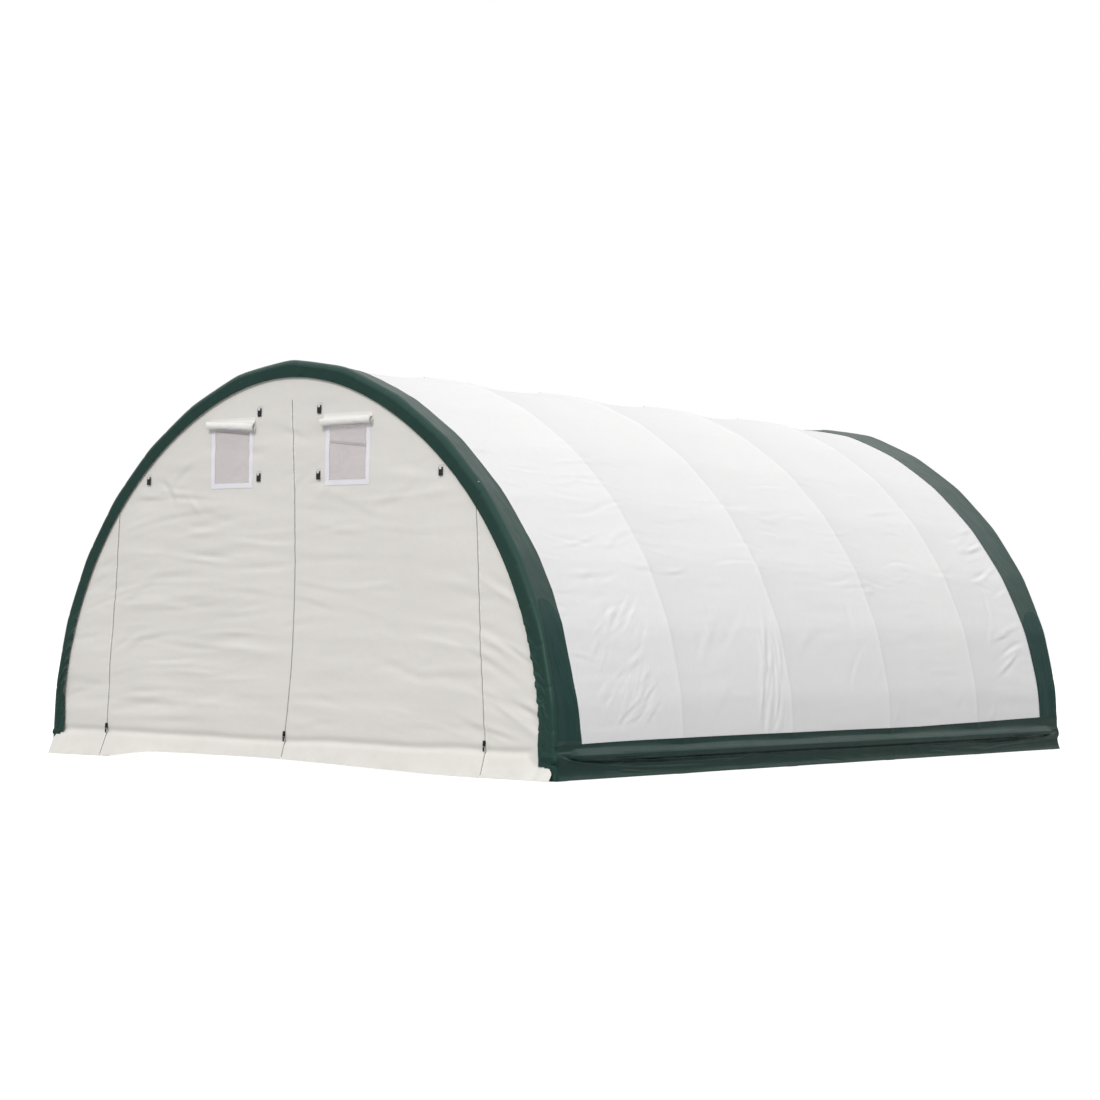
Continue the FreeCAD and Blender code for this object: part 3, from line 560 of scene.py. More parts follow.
def front_seam(s):
    """Length position of the seam between the front band and the roof."""
    h = from_foot(s)
    straight = 0.038 * np.sin(math.pi * np.clip((h - 0.30) / 1.32, 0, 1))
    return -HALF_LENGTH + 0.338 - 0.11 * step(h, 0.2, 3.2) - straight


def rear_seam(s):
    return HALF_LENGTH - 0.36 - 0.11 * step(from_foot(s), 0.2, 3.2)


HEM_ARC = arc_at_height(BAND_TOP)
LAP = 0.03  # the roof runs on under each end band


def lap_fade(s, y):
    """1 in the open roof, 0 under the end bands."""
    front, rear = front_seam(s), rear_seam(s)
    return step(y, front - 0.005, front + 0.06) * step(y, rear + 0.005, rear - 0.06)


def graded(first, last, coarse, zones):
    """Positions from first to last, spaced by coarse, or closer in a zone (low, high, pitch)."""
    fine = np.linspace(first, last, 4001)
    pitch = np.full(fine.shape, coarse)
    for low, high, small in zones:
        pitch = np.where((fine > low) & (fine < high), np.minimum(pitch, small), pitch)
    count = np.concatenate([[0], np.cumsum(np.diff(fine) / pitch[:-1])])
    return np.interp(np.linspace(0, count[-1], int(count[-1]) + 1), count, fine)


def length_columns(first, last):
    """Length positions, close together over each hoop and where folds are fine."""
    zones = [(y - 0.056, y + 0.056, 0.008) for y in HOOP_YS[1:-1]]
    zones += [(-4.0, -3.0, 0.014), (-1.45, -0.95, 0.016), (3.3, 4.0, 0.018)]
    return graded(first, last, 0.028, zones)


def make_roof():
    low, high = HEM_ARC - 0.06, ARCH_LENGTH - HEM_ARC + 0.06
    zones = [(0, 1.75, 0.014), (1.75, 3.1, 0.018)]
    zones += [(high - 1.5, high, 0.014), (high - 2.8, high, 0.018)]
    s = graded(low, high, 0.026, zones)
    columns = length_columns(-4.0, 3.95)
    t = np.linspace(0, 1, 14)
    near = (front_seam(s) - LAP)[:, None] * (1 - t[:-1]) + columns[0] * t[:-1]
    middle = columns * np.ones((len(s), 1))
    far = columns[-1] * (1 - t[1:]) + (rear_seam(s) + LAP)[:, None] * t[1:]
    Y = np.concatenate([near, middle, far], axis=1)
    S = s[:, None] * np.ones((1, Y.shape[1]))
    fade = lap_fade(S, Y)
    P = cover_points(S, Y, lift=-0.002 * (1 - fade), wrinkles=fade)
    roof = sheet("roof_sheet", P, WHITE, lining=LINING)
    hoops = [f"hoop_{i + 1}" for i in range(HOOPS)]
    place(roof, "white_cover", "shelter", "roof_cover",
          flat=(8.5, 9.8), held="stretched", rests_on=hoops)


# ---- end bands
FACING_IN = 0.090  # inner edge of the facing, inward of the smooth hoop line
FACING_Y = 0.068  # face of the facing past the hoop
FACING_FOOT = {1: 0.125, -1: 0.21}  # height of its lower end, right and left
FACING_ROWS = 20
EDGE_DROP = 0.056  # radius of the rounded edge over the hoop
BAND_SPAN = 0.60  # nominal distance from the seam to the facing's inner edge
# height above the foot and strength of the puckers at the facing's inner edge
PUCKERS = (
    (0.48, 0.8), (0.61, 1.0), (0.76, 1.0), (0.88, 0.8), (1.03, 1.0), (1.20, 0.7), (1.36, 0.5),
)


def band_relief(s, t, front):
    """Ripples of a band's roof side, t from seam to hoop, and the hollow above each foot."""
    seed = 5 if front else 6
    hollow = step(from_foot(s), 1.25, 0.3) * np.exp(-(((t - 0.62) / 0.22) ** 2))
    ripple = 0.0016 * noise(s / 0.16, 0 * s + 5 * t, seed + 2)
    ripple = ripple + 0.0010 * noise(s / 0.07, 0 * s + 9 * t, seed + 3)
    return ripple - 0.009 * hollow


def facing_points(base, r, out, t, front):
    """One row of the rounded edge at radius r, or of the facing where r is None, t across it."""
    seed = 5 if front else 6
    right = base < ARCH_LENGTH / 2
    foot = np.where(right, FACING_FOOT[1], FACING_FOOT[-1]) * min(1.0, t / 0.45)
    shift = foot * (1 - np.minimum(from_foot(base) / 1.2, 1.0))
    s = np.where(right, base + shift, base - shift)
    x, z, nx, nz = arch_at(s, 0.30)
    if r is None:
        start = COVER + 0.007 - EDGE_DROP
        ox, oz = x + nx * start, z + nz * start
        flare = FACING_IN + 0.034 * step(from_foot(base), 0.55, 0.16)
        sx, sz, _, _ = arch_at(s, 1.0)
        px, pz = ox + (sx - nx * flare - ox) * t, oz + (sz - nz * flare - oz) * t
    else:
        px, pz = x + nx * r, z + nz * r
    # tie points every 0.36 m pinch the outer fold, loose puckers toward the inner edge
    tie = np.abs((base + 0.12) % 0.36 - 0.18)
    pinch = 0.0050 * np.exp(-((tie / 0.020) ** 2)) * math.exp(-(((t - 0.12) / 0.22) ** 2))
    ripple = 0.0050 * noise(base / 0.085, 0 * base + 0.3, seed)
    ripple = ripple + 0.0028 * noise(base / 0.036, 0 * base + 2 * t, seed + 1)
    slack = 0.35 + 0.65 * step(from_foot(base), 2.4, 0.6)
    out_y = out + (ripple * slack + 0.002) * t**1.3 - pinch - 0.006 * t
    if r is None:
        wall = WALL_Y + wall_depth(px, np.maximum(pz, 0.21), 0 if front else REAR_SEED)
        gap = 0.0045 + 0.003 * np.abs(noise(base / 0.06, 0 * base, seed + 9)) * t
        out_y = np.maximum(out_y, wall - HALF_LENGTH + gap)
    sign = -1 if front else 1
    return np.stack([px, sign * (HALF_LENGTH + out_y), pz], axis=-1)


def band_points(front):
    """The green band: roof side, round edge over the hoop, facing on the end wall."""
    sign = -1 if front else 1
    zones = [(0.25, 1.65, 0.0075), (ARCH_LENGTH - 1.65, ARCH_LENGTH - 0.25, 0.0075)]
    base = graded(0.0, ARCH_LENGTH, 0.019, zones)
    points = []
    seam = front_seam(base) if front else rear_seam(base)
    for t in np.linspace(0, 1, 24 if front else 30):
        y = seam + (sign * (HALF_LENGTH + 0.014) - seam) * t
        points.append(cover_points(base, y, 0.0030 + band_relief(base, t, front), 0.0))
    start = COVER + 0.007
    for a in np.linspace(0.15, math.pi / 2, 12):
        r, out = start - EDGE_DROP * (1 - math.cos(a)), 0.014 + 0.054 * math.sin(a)
        points.append(facing_points(base, r, out, 0.0, front))
    for t in np.linspace(0.05, 1, FACING_ROWS):
        points.append(facing_points(base, None, FACING_Y, t, front))
    P = np.stack(points, axis=1)
    # short diagonal wrinkles toward each foot, on the facing and its edge
    W = np.linspace(0, BAND_SPAN, P.shape[1])[None, :] * np.ones((len(base), 1))
    H = from_foot(base)[:, None] * np.ones((1, P.shape[1]))
    seed = 9 if front else 10
    wrinkle = creases(H, W, seed, 34, (0.15, 1.35, 0.30, 0.58), 62, 14, 0.11, 0.016, 0.0135)
    wrinkle *= step(H, 1.45, 0.3) * step(W, 0.34, 0.44)
    pucker = np.zeros_like(H)
    for height, strength in PUCKERS:
        d = H - height - 0.55 * (W - BAND_SPAN)
        ridge = np.exp(-((d / np.where(d > 0, 0.048, 0.017)) ** 2))
        inner = np.exp(-(((BAND_SPAN - W) / 0.14) ** 2)) * step(W, 0.36, 0.46)
        pucker += 0.018 * strength * ridge * inner
    P = P + sign * grid_normals(P) * np.maximum(wrinkle, -0.002)[:, :, None]
    P[..., 1] += sign * pucker
    P[..., 2] = np.maximum(P[..., 2], 0.003)
    return P


def make_band(front):
    end, hoop = ("front", "hoop_1") if front else ("rear", "hoop_6")
    P = band_points(front)
    band = sheet(f"{end}_band_sheet", P[:, ::-1] if front else P, GREEN)
    width = 0.50 if front else 0.66
    place(band, "green_band", "shelter", f"{end}_edge_band",
          flat=(width, 10.6), held="stretched", rests_on=[hoop])


def make_patches(front):
    """Reinforcing patches welded on the band above each foot, with a rounded top."""
    end = "front" if front else "rear"
    sign = -1 if front else 1
    edge = sign * (HALF_LENGTH + 0.006)
    s = np.linspace(0.33, 1.54, 66)
    S, T = np.meshgrid(s, np.linspace(0, 1, 26), indexing="ij")
    low = ((front_seam(s) if front else rear_seam(s)) + sign * 0.006)[:, None]
    Y = low + (edge - low) * T
    # the rounded top stands highest beside the hoop and runs down to the seam
    top = 0.20 * np.clip((0.62 - T) / 0.62, 0, 1) ** 2.2
    top = (top + 0.10 * np.clip((T - 0.80) / 0.20, 0, 1) ** 2) * np.clip((S - 0.9) / 0.64, 0, 1)
    folds = creases(S, T * 0.33, 31, 9, (0.38, 1.15, 0.03, 0.28), 14, 10, 0.17, 0.020, 0.0050)
    for side, name in SIDES:
        arc = (S if side > 0 else ARCH_LENGTH - S) - side * top
        lift = 0.0046 + band_relief(arc, T, front) + np.maximum(folds, 0)
        P = cover_points(arc, Y, lift, 0.0)
        P = P[:, ::-1] if (side > 0) == front else P
        patch = sheet(f"{end}_{name}_patch_sheet", P, PATCH, 0.0010)
        place(patch, "green_band", "shelter", f"{end}_edge_band",
              flat=(0.34 if front else 0.37, 1.05), held="laid", rests_on=[f"{end}_band_sheet"])


# ---- base bands
# outward of the leg and height: over the hem pipe, tucked in below it, out on to the ground
HEM_PROFILE = np.array([
    (0.0, 0.318), (0.001, 0.292), (0.002, 0.262), (0.013, 0.243), (0.037, 0.226), (0.050, 0.200),
    (0.042, 0.170), (0.020, 0.146), (0.007, 0.118), (0.010, 0.080), (0.019, 0.038), (0.034, 0.006),
])
HEM_RETURN = 0.085  # how far the band runs on behind each skirt
HEM_TURN = HALF_LENGTH + 0.016
# place across the band, width, depth and reach of the folds that fan out of each corner
HEM_FOLDS = (
    (0.160, 0.009, -0.0170, 1.5), (0.190, 0.010, -0.0130, 9.0), (0.226, 0.011, -0.0190, 2.2),
    (0.262, 0.012, -0.0150, 1.5), (0.120, 0.008, -0.0060, 0.9),
)
HEM_ORIGIN = 0.125  # where the fan starts
PIPE_X, PIPE_Z, PIPE_CLEAR = 3.076, 0.200, 0.0190
PIPE_FREE = 0.27  # length at each corner that the pipe does not reach


def hem_way():
    """Rows of (inward shift, length position, turn): return, corner, side, corner, return."""
    t = np.linspace(0, 1, 6)
    turns = np.linspace(0, math.pi / 2, 10)
    way = [(-HEM_RETURN * (1 - v), -HEM_TURN, math.pi / 2) for v in t[:-1]]
    way += [(0, -HEM_TURN, b) for b in turns[::-1][:-1]]
    way += [(0, v, 0) for v in np.linspace(-HEM_TURN, HEM_TURN, 430)]
    way += [(0, HEM_TURN, -b) for b in turns[1:]]
    way += [(-HEM_RETURN * v, HEM_TURN, -math.pi / 2) for v in t[1:]]
    return np.array(way)


def make_base_band(side, name):
    """Hem band: out over the hem pipe, in below it, out on the ground, round the corners."""
    run = np.linalg.norm(np.diff(HEM_PROFILE, axis=0), axis=1)
    run = np.concatenate([[0], np.cumsum(run)])
    a = np.linspace(0, run[-1], 56)
    line = np.stack([np.interp(a, run, HEM_PROFILE[:, k]) for k in (0, 1)], axis=1)
    line = smooth_rows(line, 0.007, a[1] - a[0])
    way = hem_way()
    A, Y = np.meshgrid(a, way[:, 1])
    z = np.interp(A, a, line[:, 1])
    out = np.interp(A, a, line[:, 0])
    end = HEM_TURN - np.abs(Y)
    # the roll over the pipe dies into the corners, fullest at mid length
    roll = np.exp(-(((A - 0.13) / 0.055) ** 2))
    out = out - 0.026 * roll * (1 - step(end, 0.0, 0.9))
    out = out + 0.006 * roll * noise(Y / 1.1, A * 0, 41 + side)
    spread = 1 - np.exp(-end / 0.55)
    w = np.zeros_like(A)
    for across, wide, deep, reach in HEM_FOLDS:
        sway = 0.010 * noise(Y / 0.8, 0 * Y + across * 40, 47 + side)
        d = A - (HEM_ORIGIN + (across - HEM_ORIGIN) * spread + sway * spread)
        shape = np.exp(-((d / wide) ** 2)) - 0.45 * np.exp(-(((d - 1.9 * wide) / wide) ** 2))
        w += deep * shape * step(end, 0.02, 0.25) * np.exp(-((end / reach) ** 2))
    w += 0.0030 * noise(Y / 0.7, A / 0.05, 43 + side)
    w += 0.0012 * noise(Y / 0.16, A / 0.06, 44 + side)
    region = (0.16, 0.30, -4.3, 4.3)
    w += creases(A, Y, 53 + side, 22, region, 90, 5, 0.22, 0.009, 0.0045, 0.03)
    below_seam = step(A, 0.02, 0.06)
    out = out + w * below_seam * step(A, a[-1], a[-1] - 0.03)
    z = np.maximum(z + 0.3 * w * below_seam, 0.003)
    # the upper edge lies on the roof, higher toward the rear, lower at the front corner
    cover = COVER + 0.0035
    top = cover_offset(np.full_like(Y, HEM_ARC), Y) + 0.0075
    out = out + cover + (top - cover) * step(A, 0.10, 0.0)
    rise = 0.045 * np.clip((Y - 1.5) / 3.0, 0, 1) - 0.026 * np.exp(-(Y + HEM_TURN) / 0.9)
    z = z + rise * step(A, 0.11, 0.0)
    half = len(ARC) // 2
    leg = np.interp(z, SHARP_LINE[:half, 1], SHARP_LINE[:half, 0])
    if side < 0:  # the far front corner is drawn in
        out = out * (1 - 0.75 * step(Y, -4.2, -4.55) * step(A, 0.13, 0.20))
    # draped over the hem pipe: round over it, then off it at 45 degrees
    dz = np.abs(z - PIPE_Z)
    turned = PIPE_CLEAR / math.sqrt(2)
    round_pipe = np.sqrt(np.maximum(PIPE_CLEAR**2 - dz**2, 0))
    over = np.where(dz < turned, round_pipe, 2 * turned - dz)
    out = np.maximum(out, PIPE_X - leg + over - 0.06 * step(end, PIPE_FREE, 0.04))
    turn = way[:, 2][:, None]
    x = leg + way[:, 0][:, None] + out * np.cos(turn)
    # the returns tuck in behind the skirts of the end walls
    tuck = 1 - 0.65 * step(z, 0.155, 0.115)
    P = np.stack([side * x, Y - out * np.sin(turn) * tuck, z], axis=-1)
    hem = sheet(f"{name}_hem_sheet", P if side > 0 else P[:, ::-1], HEM)
    place(hem, "green_band", "shelter", f"{name}_base_band",
          flat=(0.36, 9.6), held="stretched", rests_on=["hem_pipes"])


# ---- end walls
DOOR_TOP = 2.4999
DOOR_HALF = 2.31  # side zips, at the foot
ZIP_GAP = 0.0028  # from a zip's centre to the cloth
WALL_FOOT = 0.004
REAR_SEED = 30  # other folds on the rear wall
VENT_X0, VENT_X1 = 0.485, 0.925
VENT_Z0, VENT_Z1 = 2.55, 3.04
VENT_X = (VENT_X0 + VENT_X1) / 2
CENTRE_ZIP_TOP = 3.285


def centre_x(z):
    """The centre seam wanders a little to the right at mid height."""
    t = np.clip((z - 0.29) / 3.0, 0, 1)
    return 0.082 * np.sin(math.pi * t**0.8) + 0.030 * t


def zip_side(z, side):
    """x of the side zip seam on that side, leaning in and slightly wavy."""
    lean = 2.316 + (2.157 - 2.316) * z / 2.5
    wave = 0.007 * np.sin(z * 3.1 + side) * np.sin(math.pi * np.clip(z / 2.4, 0, 1))
    return side * (lean + wave)


# seed, count, (x and z region), angle, spread, length, width, depth, bow
WALL_FOLDS = (
    (67, 64, (-2.2, -0.1, 0.35, 2.45), 3, 6, 0.42, 0.030, 0.0052, 0.07),
    (68, 20, (-2.8, -1.7, 0.6, 2.3), 12, 9, 0.24, 0.034, 0.0055, 0.1),
    (69, 44, (0.1, 2.2, 0.3, 2.6), -3, 7, 0.36, 0.032, 0.0036, 0.08),
    (70, 15, (2.35, 2.95, 0.3, 1.7), -25, 5, 0.30, 0.036, 0.0115, 0.06),
    (73, 26, (-2.0, 2.0, 2.3, 3.2), 12, 20, 0.24, 0.035, 0.0068, 0.2),
)


def wall_depth(x, z, seed=0):
    """How far the wall stands out from its plane: drape folds, skirt kick, pull of the band."""
    left = step(-x, -0.1, 1.2)
    right = 1 - left
    # broad near-horizontal drape folds, stronger on the left leaf
    drift = 0.35 * noise(x / 0.6, z / 0.5, 71)
    w = 0.0085 * noise(x / 0.95 + drift, (z + 0.06 * x) / 0.135, 61 + seed)
    w *= 0.42 * right + 0.62 * left
    fine = 0.0045 * noise(x / 0.45, (z - 0.05 * x) / 0.07, 62 + seed)
    w += fine * (0.35 * right + 0.55 * left)
    for first, *folds in WALL_FOLDS:
        w += creases(x, z, first + seed, *folds)
    w *= step(z, 0.24, 0.45) * 0.9 + 0.1
    # tight against the hoop, slack in the middle
    w *= 0.12 + 0.88 * step(arch_height(x) - z, 0.12, 0.45)
    # the sheet tucks in above the skirt, then kicks out on the ground
    corner = step(x, 2.72, 2.86)
    tuck_z = 0.235 + 0.012 * noise(x / 0.5, x * 0, 77)
    w -= 0.016 * (1 - corner) * np.exp(-(((z - tuck_z) / 0.028) ** 2))
    start = 0.225 - 0.105 * corner
    t = np.clip((start - z) / start, 0, 1)
    kick = 0.080 * t**1.15 + 0.010 * noise(x / 0.28, z / 0.2, 79 + seed) * t
    kick += 0.012 * noise(x / 0.9, z * 0, 80 + seed) * t
    # at both corners the skirt lies over the foot of the green band
    kick += 0.014 * step(-x, 2.70, 2.82) * step(z, 0.27, 0.18)
    kick += 0.022 * step(x, 2.86, 2.95) * step(z, 0.125, 0.095)
    return w + kick


def wall_points(x, z, front=True, lift=0.0):
    depth = wall_depth(x if front else -x, z, 0 if front else REAR_SEED)
    y = (-1 if front else 1) * (WALL_Y + 0.0006 + lift + depth)
    return np.stack([x, y, z], axis=-1)


def wall_sheet(name, x, z, material, thickness=SHEET, lift=0.0, back=False, keep=None):
    """Front wall cloth over a grid of x and z; back is for a grid that runs toward -X."""
    P = wall_points(x, z, lift=lift)
    return sheet(name, P[::-1] if back else P, material, thickness, keep)


def skirt_foot(x):
    """Height of the front skirt's lower edge: on the ground at the corners and the door posts, and
    hanging a little clear of it under the door leaves."""
    return WALL_FOOT + 0.068 * step(x, -2.38, -1.55) * (1 - step(x, -0.7, 2.42))


def make_leaf(side, name):
    U, T = np.meshgrid(np.linspace(0, 1, 118), np.linspace(0, 1, 132), indexing="ij")
    foot = skirt_foot(side * DOOR_HALF * U)
    Z = foot + (DOOR_TOP - foot) * T
    inner = centre_x(Z) + side * ZIP_GAP
    X = inner + (zip_side(Z, side) - side * ZIP_GAP - inner) * U
    leaf = wall_sheet(f"{name}_leaf_sheet", X, Z, IVORY, back=side < 0)
    place(leaf, "ivory_wall", None, f"{name}_door_leaf",
          flat=(2.27, 2.55), held="hung", rests_on=["front_gable_panel"])
    return leaf


def make_side_panel(side, name):
    U, T = np.meshgrid(np.linspace(0, 1, 60), np.linspace(0, 1, 130), indexing="ij")
    foot = skirt_foot(side * (DOOR_HALF + 0.72 * U))
    Z = foot + (DOOR_TOP - 0.0004 - foot) * T
    px, pz, _, _ = arch_at(ARC[: len(ARC) // 2])
    edge = np.interp(Z, pz, px) - 0.042
    # the skirt's end runs on over the foot of the green band
    reach = 0.085 * step(Z, 0.150, 0.055) if side > 0 else 0.040 * step(Z, 0.22, 0.13)
    inner = zip_side(Z, side) + side * ZIP_GAP
    outer = side * np.maximum(edge + reach, np.abs(inner) + 0.004)
    X = inner + (outer - inner) * U
    panel = wall_sheet(f"{name}_panel_sheet", X, Z, IVORY, back=side < 0)
    place(panel, "ivory_wall", "shelter", f"front_{name}_panel",
          flat=(0.9, 2.6), held="stretched", rests_on=["hoop_1"], area=1.25)


def make_gable():
    """The wall above the doors with the two vent openings, split by the zip up to its top."""
    half = np.concatenate([
        np.linspace(ZIP_GAP, VENT_X0, 24), np.linspace(VENT_X0, VENT_X1, 22),
        np.linspace(VENT_X1, 2.2, 62),
    ])
    cols = np.unique(np.concatenate([-half, half]))
    z0 = 2.500
    room = np.maximum(arch_height(cols) - 0.020 - z0, 0.004)
    at_vent = np.abs(cols) <= VENT_X1 + 1e-6
    low = np.where(at_vent, VENT_Z0 - z0, np.minimum(VENT_Z0 - z0, 0.08 * room))
    high = np.where(at_vent, VENT_Z1 - z0, np.minimum(VENT_Z1 - z0, 0.78 * room))
    n0, n1, n2 = 6, 26, 30  # rows below, beside and above the vents
    t = []
    for a, b, n, last in ((low * 0, low, n0, 0), (low, high, n1, 0), (high, room, n2, 1)):
        steps = np.linspace(0, 1, n + 1)[: n + last]
        t.append(a[:, None] + (b - a)[:, None] * steps[None, :])
    Z = z0 + np.concatenate(t, axis=1)
    X = cols[:, None] * np.ones_like(Z)
    X = X + centre_x(Z) * (1 - step(np.abs(X), 0.05, 0.45))
    keep = np.ones((len(cols) - 1, Z.shape[1] - 1), bool)
    mid = np.abs((cols[:-1] + cols[1:]) / 2)
    hole = (mid > VENT_X0) & (mid < VENT_X1)
    keep[np.ix_(hole, np.arange(n0, n0 + n1))] = False
    for i in np.nonzero(mid < 0.002)[0]:
        keep[i, Z[i, 1:] < CENTRE_ZIP_TOP] = False
    gable = wall_sheet("gable_sheet", X, Z, IVORY, keep=keep)
    place(gable, "ivory_wall", "shelter", "front_gable_panel",
          flat=(4.4, 1.15), held="stretched", rests_on=["hoop_1"], area=3.0)


def make_rear_wall():
    U, T = np.meshgrid(np.linspace(-1, 1, 170), np.linspace(0, 1, 120), indexing="ij")
    px, pz, _, _ = arch_at(ARC[: len(ARC) // 2])
    Z = T * (CROWN - 0.01) + WALL_FOOT
    X = U * np.maximum(np.interp(Z, pz, px), 0.02)
    wall = sheet("rear_wall_sheet", wall_points(X, Z, front=False)[::-1], IVORY)
    place(wall, "ivory_wall", "shelter", "rear_wall",
          flat=(6.0, 3.7), held="stretched", rests_on=["hoop_6"], area=17.5)


# ---- zips
TOOTH = (0.0062, 0.0034, 0.0042)
TOOTH_PITCH = 0.0075
ZIP_FOOT = 0.022  # start of the teeth above the skirt's edge
UPPER_ZIP = (2.503, CENTRE_ZIP_TOP)


def zip_teeth(name, z0, z1, centre, sides=(-1, 1)):
    """Teeth of a zip along x = centre(z), alternating from one tape to the other."""
    centres, axes = [], []
    for side in sides:
        z = np.arange(z0, z1, TOOTH_PITCH) + (TOOTH_PITCH / 2 if side > 0 else 0)
        points = wall_points(centre(z) + side * 0.0017, z, lift=0.0012)
        for point, slope in zip(points, np.gradient(centre(z), z)):
            n = math.hypot(1, slope)
            centres.append(point)
            axes.append([(1 / n, 0, -slope / n), (0, 1, 0), (slope / n, 0, 1 / n)])
    return small_boxes(name, centres, axes, TOOTH, ZIP)


def zip_tape(name, z0, z1, centre, side):
    z = np.linspace(z0, z1, max(8, int((z1 - z0) / 0.02)))
    U, Z = np.meshgrid([0.004, 0.013, 0.022], z, indexing="ij")
    return wall_sheet(name, centre(Z) + side * U, Z, TAPE, 0.0008, lift=0.0011, back=side < 0)


def make_zips():
    """Makes all zips, and returns the teeth that each leaf carries."""
    carried = {}
    centre_foot = float(skirt_foot(0.0)) + ZIP_FOOT
    for side, name in SIDES:
        low = float(skirt_foot(side * DOOR_HALF)) + ZIP_FOOT
        edge = lambda z, s=side: zip_side(z, s)
        fixed = zip_teeth(f"{name}_zip_fixed_teeth", low, 2.40, edge, sides=(side,))
        tape = zip_tape(f"{name}_zip_tape", low, 2.44, edge, side)
        moving = zip_teeth(f"{name}_zip_leaf_teeth", low, 2.40, edge, sides=(-side,))
        middle = zip_teeth(f"{name}_centre_teeth", centre_foot, 2.495, centre_x, sides=(side,))
        for piece in (fixed, tape):
            place(piece, "zip_tape", "shelter", "zip_tapes")
        carried[side] = [moving, middle]
        for piece in carried[side]:
            place(piece, "zip_tape")
    upper = [zip_teeth("centre_zip_upper_teeth", *UPPER_ZIP, centre_x)]
    for side, name in SIDES:
        upper.append(zip_tape(f"centre_zip_upper_tape_{name[0]}", *UPPER_ZIP, centre_x, side))
    for piece in upper:
        place(piece, "zip_tape", "shelter")
    return carried


# ---- vents
RIM = 0.042  # width of a vent's sewn border


def make_vent(side, name):
    cx, cz = VENT_X * side, (VENT_Z0 + VENT_Z1) / 2
    w, h = VENT_X1 - VENT_X0, VENT_Z1 - VENT_Z0
    # border: a grid of five rings round the opening
    corners = ((-1, -1), (1, -1), (1, 1), (-1, 1), (-1, -1))
    ring = []
    for (x0, z0), (x1, z1) in zip(corners, corners[1:]):
        for t in np.linspace(0, 1, 26, endpoint=False):
            ring.append((x0 + (x1 - x0) * t, z0 + (z1 - z0) * t))
    ring = np.array(ring + [ring[0]])
    grow = np.linspace(-0.004, RIM, 5)[:, None]
    X, Z = cx + ring[:, 0] * (w / 2 + grow), cz + ring[:, 1] * (h / 2 + grow)
    border = wall_sheet(
        f"{name}_vent_border_sheet", X, Z, BORDER, 0.0010, lift=0.0016, back=True
    )
    wide, high = w + 2 * RIM, h + 2 * RIM
    area = max(0.31 * wide * high, 2 * RIM * (w + h + 2 * RIM))
    place(border, "vent_mesh", "shelter", f"{name}_vent_screen",
          flat=(wide, high), held="laid", rests_on=["front_gable_panel"], area=area)
    seam = 0.02
    x = np.linspace(cx - w / 2 - seam, cx + w / 2 + seam, 24)
    z = np.linspace(VENT_Z0 - seam, VENT_Z1 + seam, 24)
    X, Z = np.meshgrid(x, z, indexing="ij")
    net = wall_sheet(f"{name}_vent_net_sheet", X, Z, SCREEN, 0.0004, lift=-0.0022)
    place(net, "vent_mesh", "shelter",
          flat=(w + 0.04, h + 0.04), held="stretched", rests_on=["front_gable_panel"])


FLAP_HALF = 0.29
FLAP_TURNS = 3.3
HEAD_LOW, HEAD_SEAM = 3.092, 3.118  # the head strip leaves the wall between these heights


def make_flap(side, name):
    """Storm flap rolled up above its vent: a flattened spiral of sheet with a sewn head."""
    cx, cz = VENT_X * side, 3.073
    a = np.linspace(0, FLAP_TURNS * 2 * math.pi, 130)
    r = 0.0095 + 0.0175 * a / a[-1]
    y0 = -(WALL_Y + 0.033 + wall_depth(np.array([cx]), np.array([cz]))[0])
    tilt = 0.5 * side * (0.035 if side < 0 else 0.010)
    P = np.zeros((46, len(a), 3))
    for i, t in enumerate(np.linspace(-FLAP_HALF, FLAP_HALF, 46)):
        slack = 1 + 0.08 * math.sin(7 * t + side) + 0.20 * step(np.array(-t), 0.05, FLAP_HALF)
        rr = r * slack + 0.0022 * noise(a * 1.7 + t * 9, a * 0 + t * 14, 91 + side)
        P[i, :, 0] = cx + t + 0.010 * np.sin(a * 0.5) * abs(t) / FLAP_HALF
        P[i, :, 1] = y0 - 0.80 * rr * np.cos(a) - 0.004 * (slack - 1)
        P[i, :, 2] = cz + tilt * t / FLAP_HALF + 1.18 * rr * np.sin(a) - 0.012 * (slack - 1)
    flap = sheet(f"{name}_flap_roll_sheet", P[:, ::-1], PALE, 0.0010)
    place(flap, "ivory_wall", f"{name}_vent_roll", f"{name}_vent_flap",
          flat=(0.58, 0.55), held="folded", rests_on=["front_gable_panel"], area=0.58 * 0.42)
    # the head strip between the sewn line and the roll; it pays out as the roll goes down
    z = np.concatenate([np.linspace(3.090, HEAD_SEAM, 12), np.linspace(3.12, 3.150, 6)])
    X, Z = np.meshgrid(np.linspace(cx - 0.285, cx + 0.285, 40), z, indexing="ij")
    P = wall_points(X, Z, lift=0.0022)
    P[..., 1] -= 0.012 * step(Z, 3.130, HEAD_LOW)
    head = sheet(f"{name}_flap_head_sheet", P, PALE, 0.0010)
    place(head, "ivory_wall")
    return head


# ---- trim
EYELET_R, EYELET_WIRE = 0.0080, 0.0026
EYELET_RING, EYELET_SIDES = 20, 8


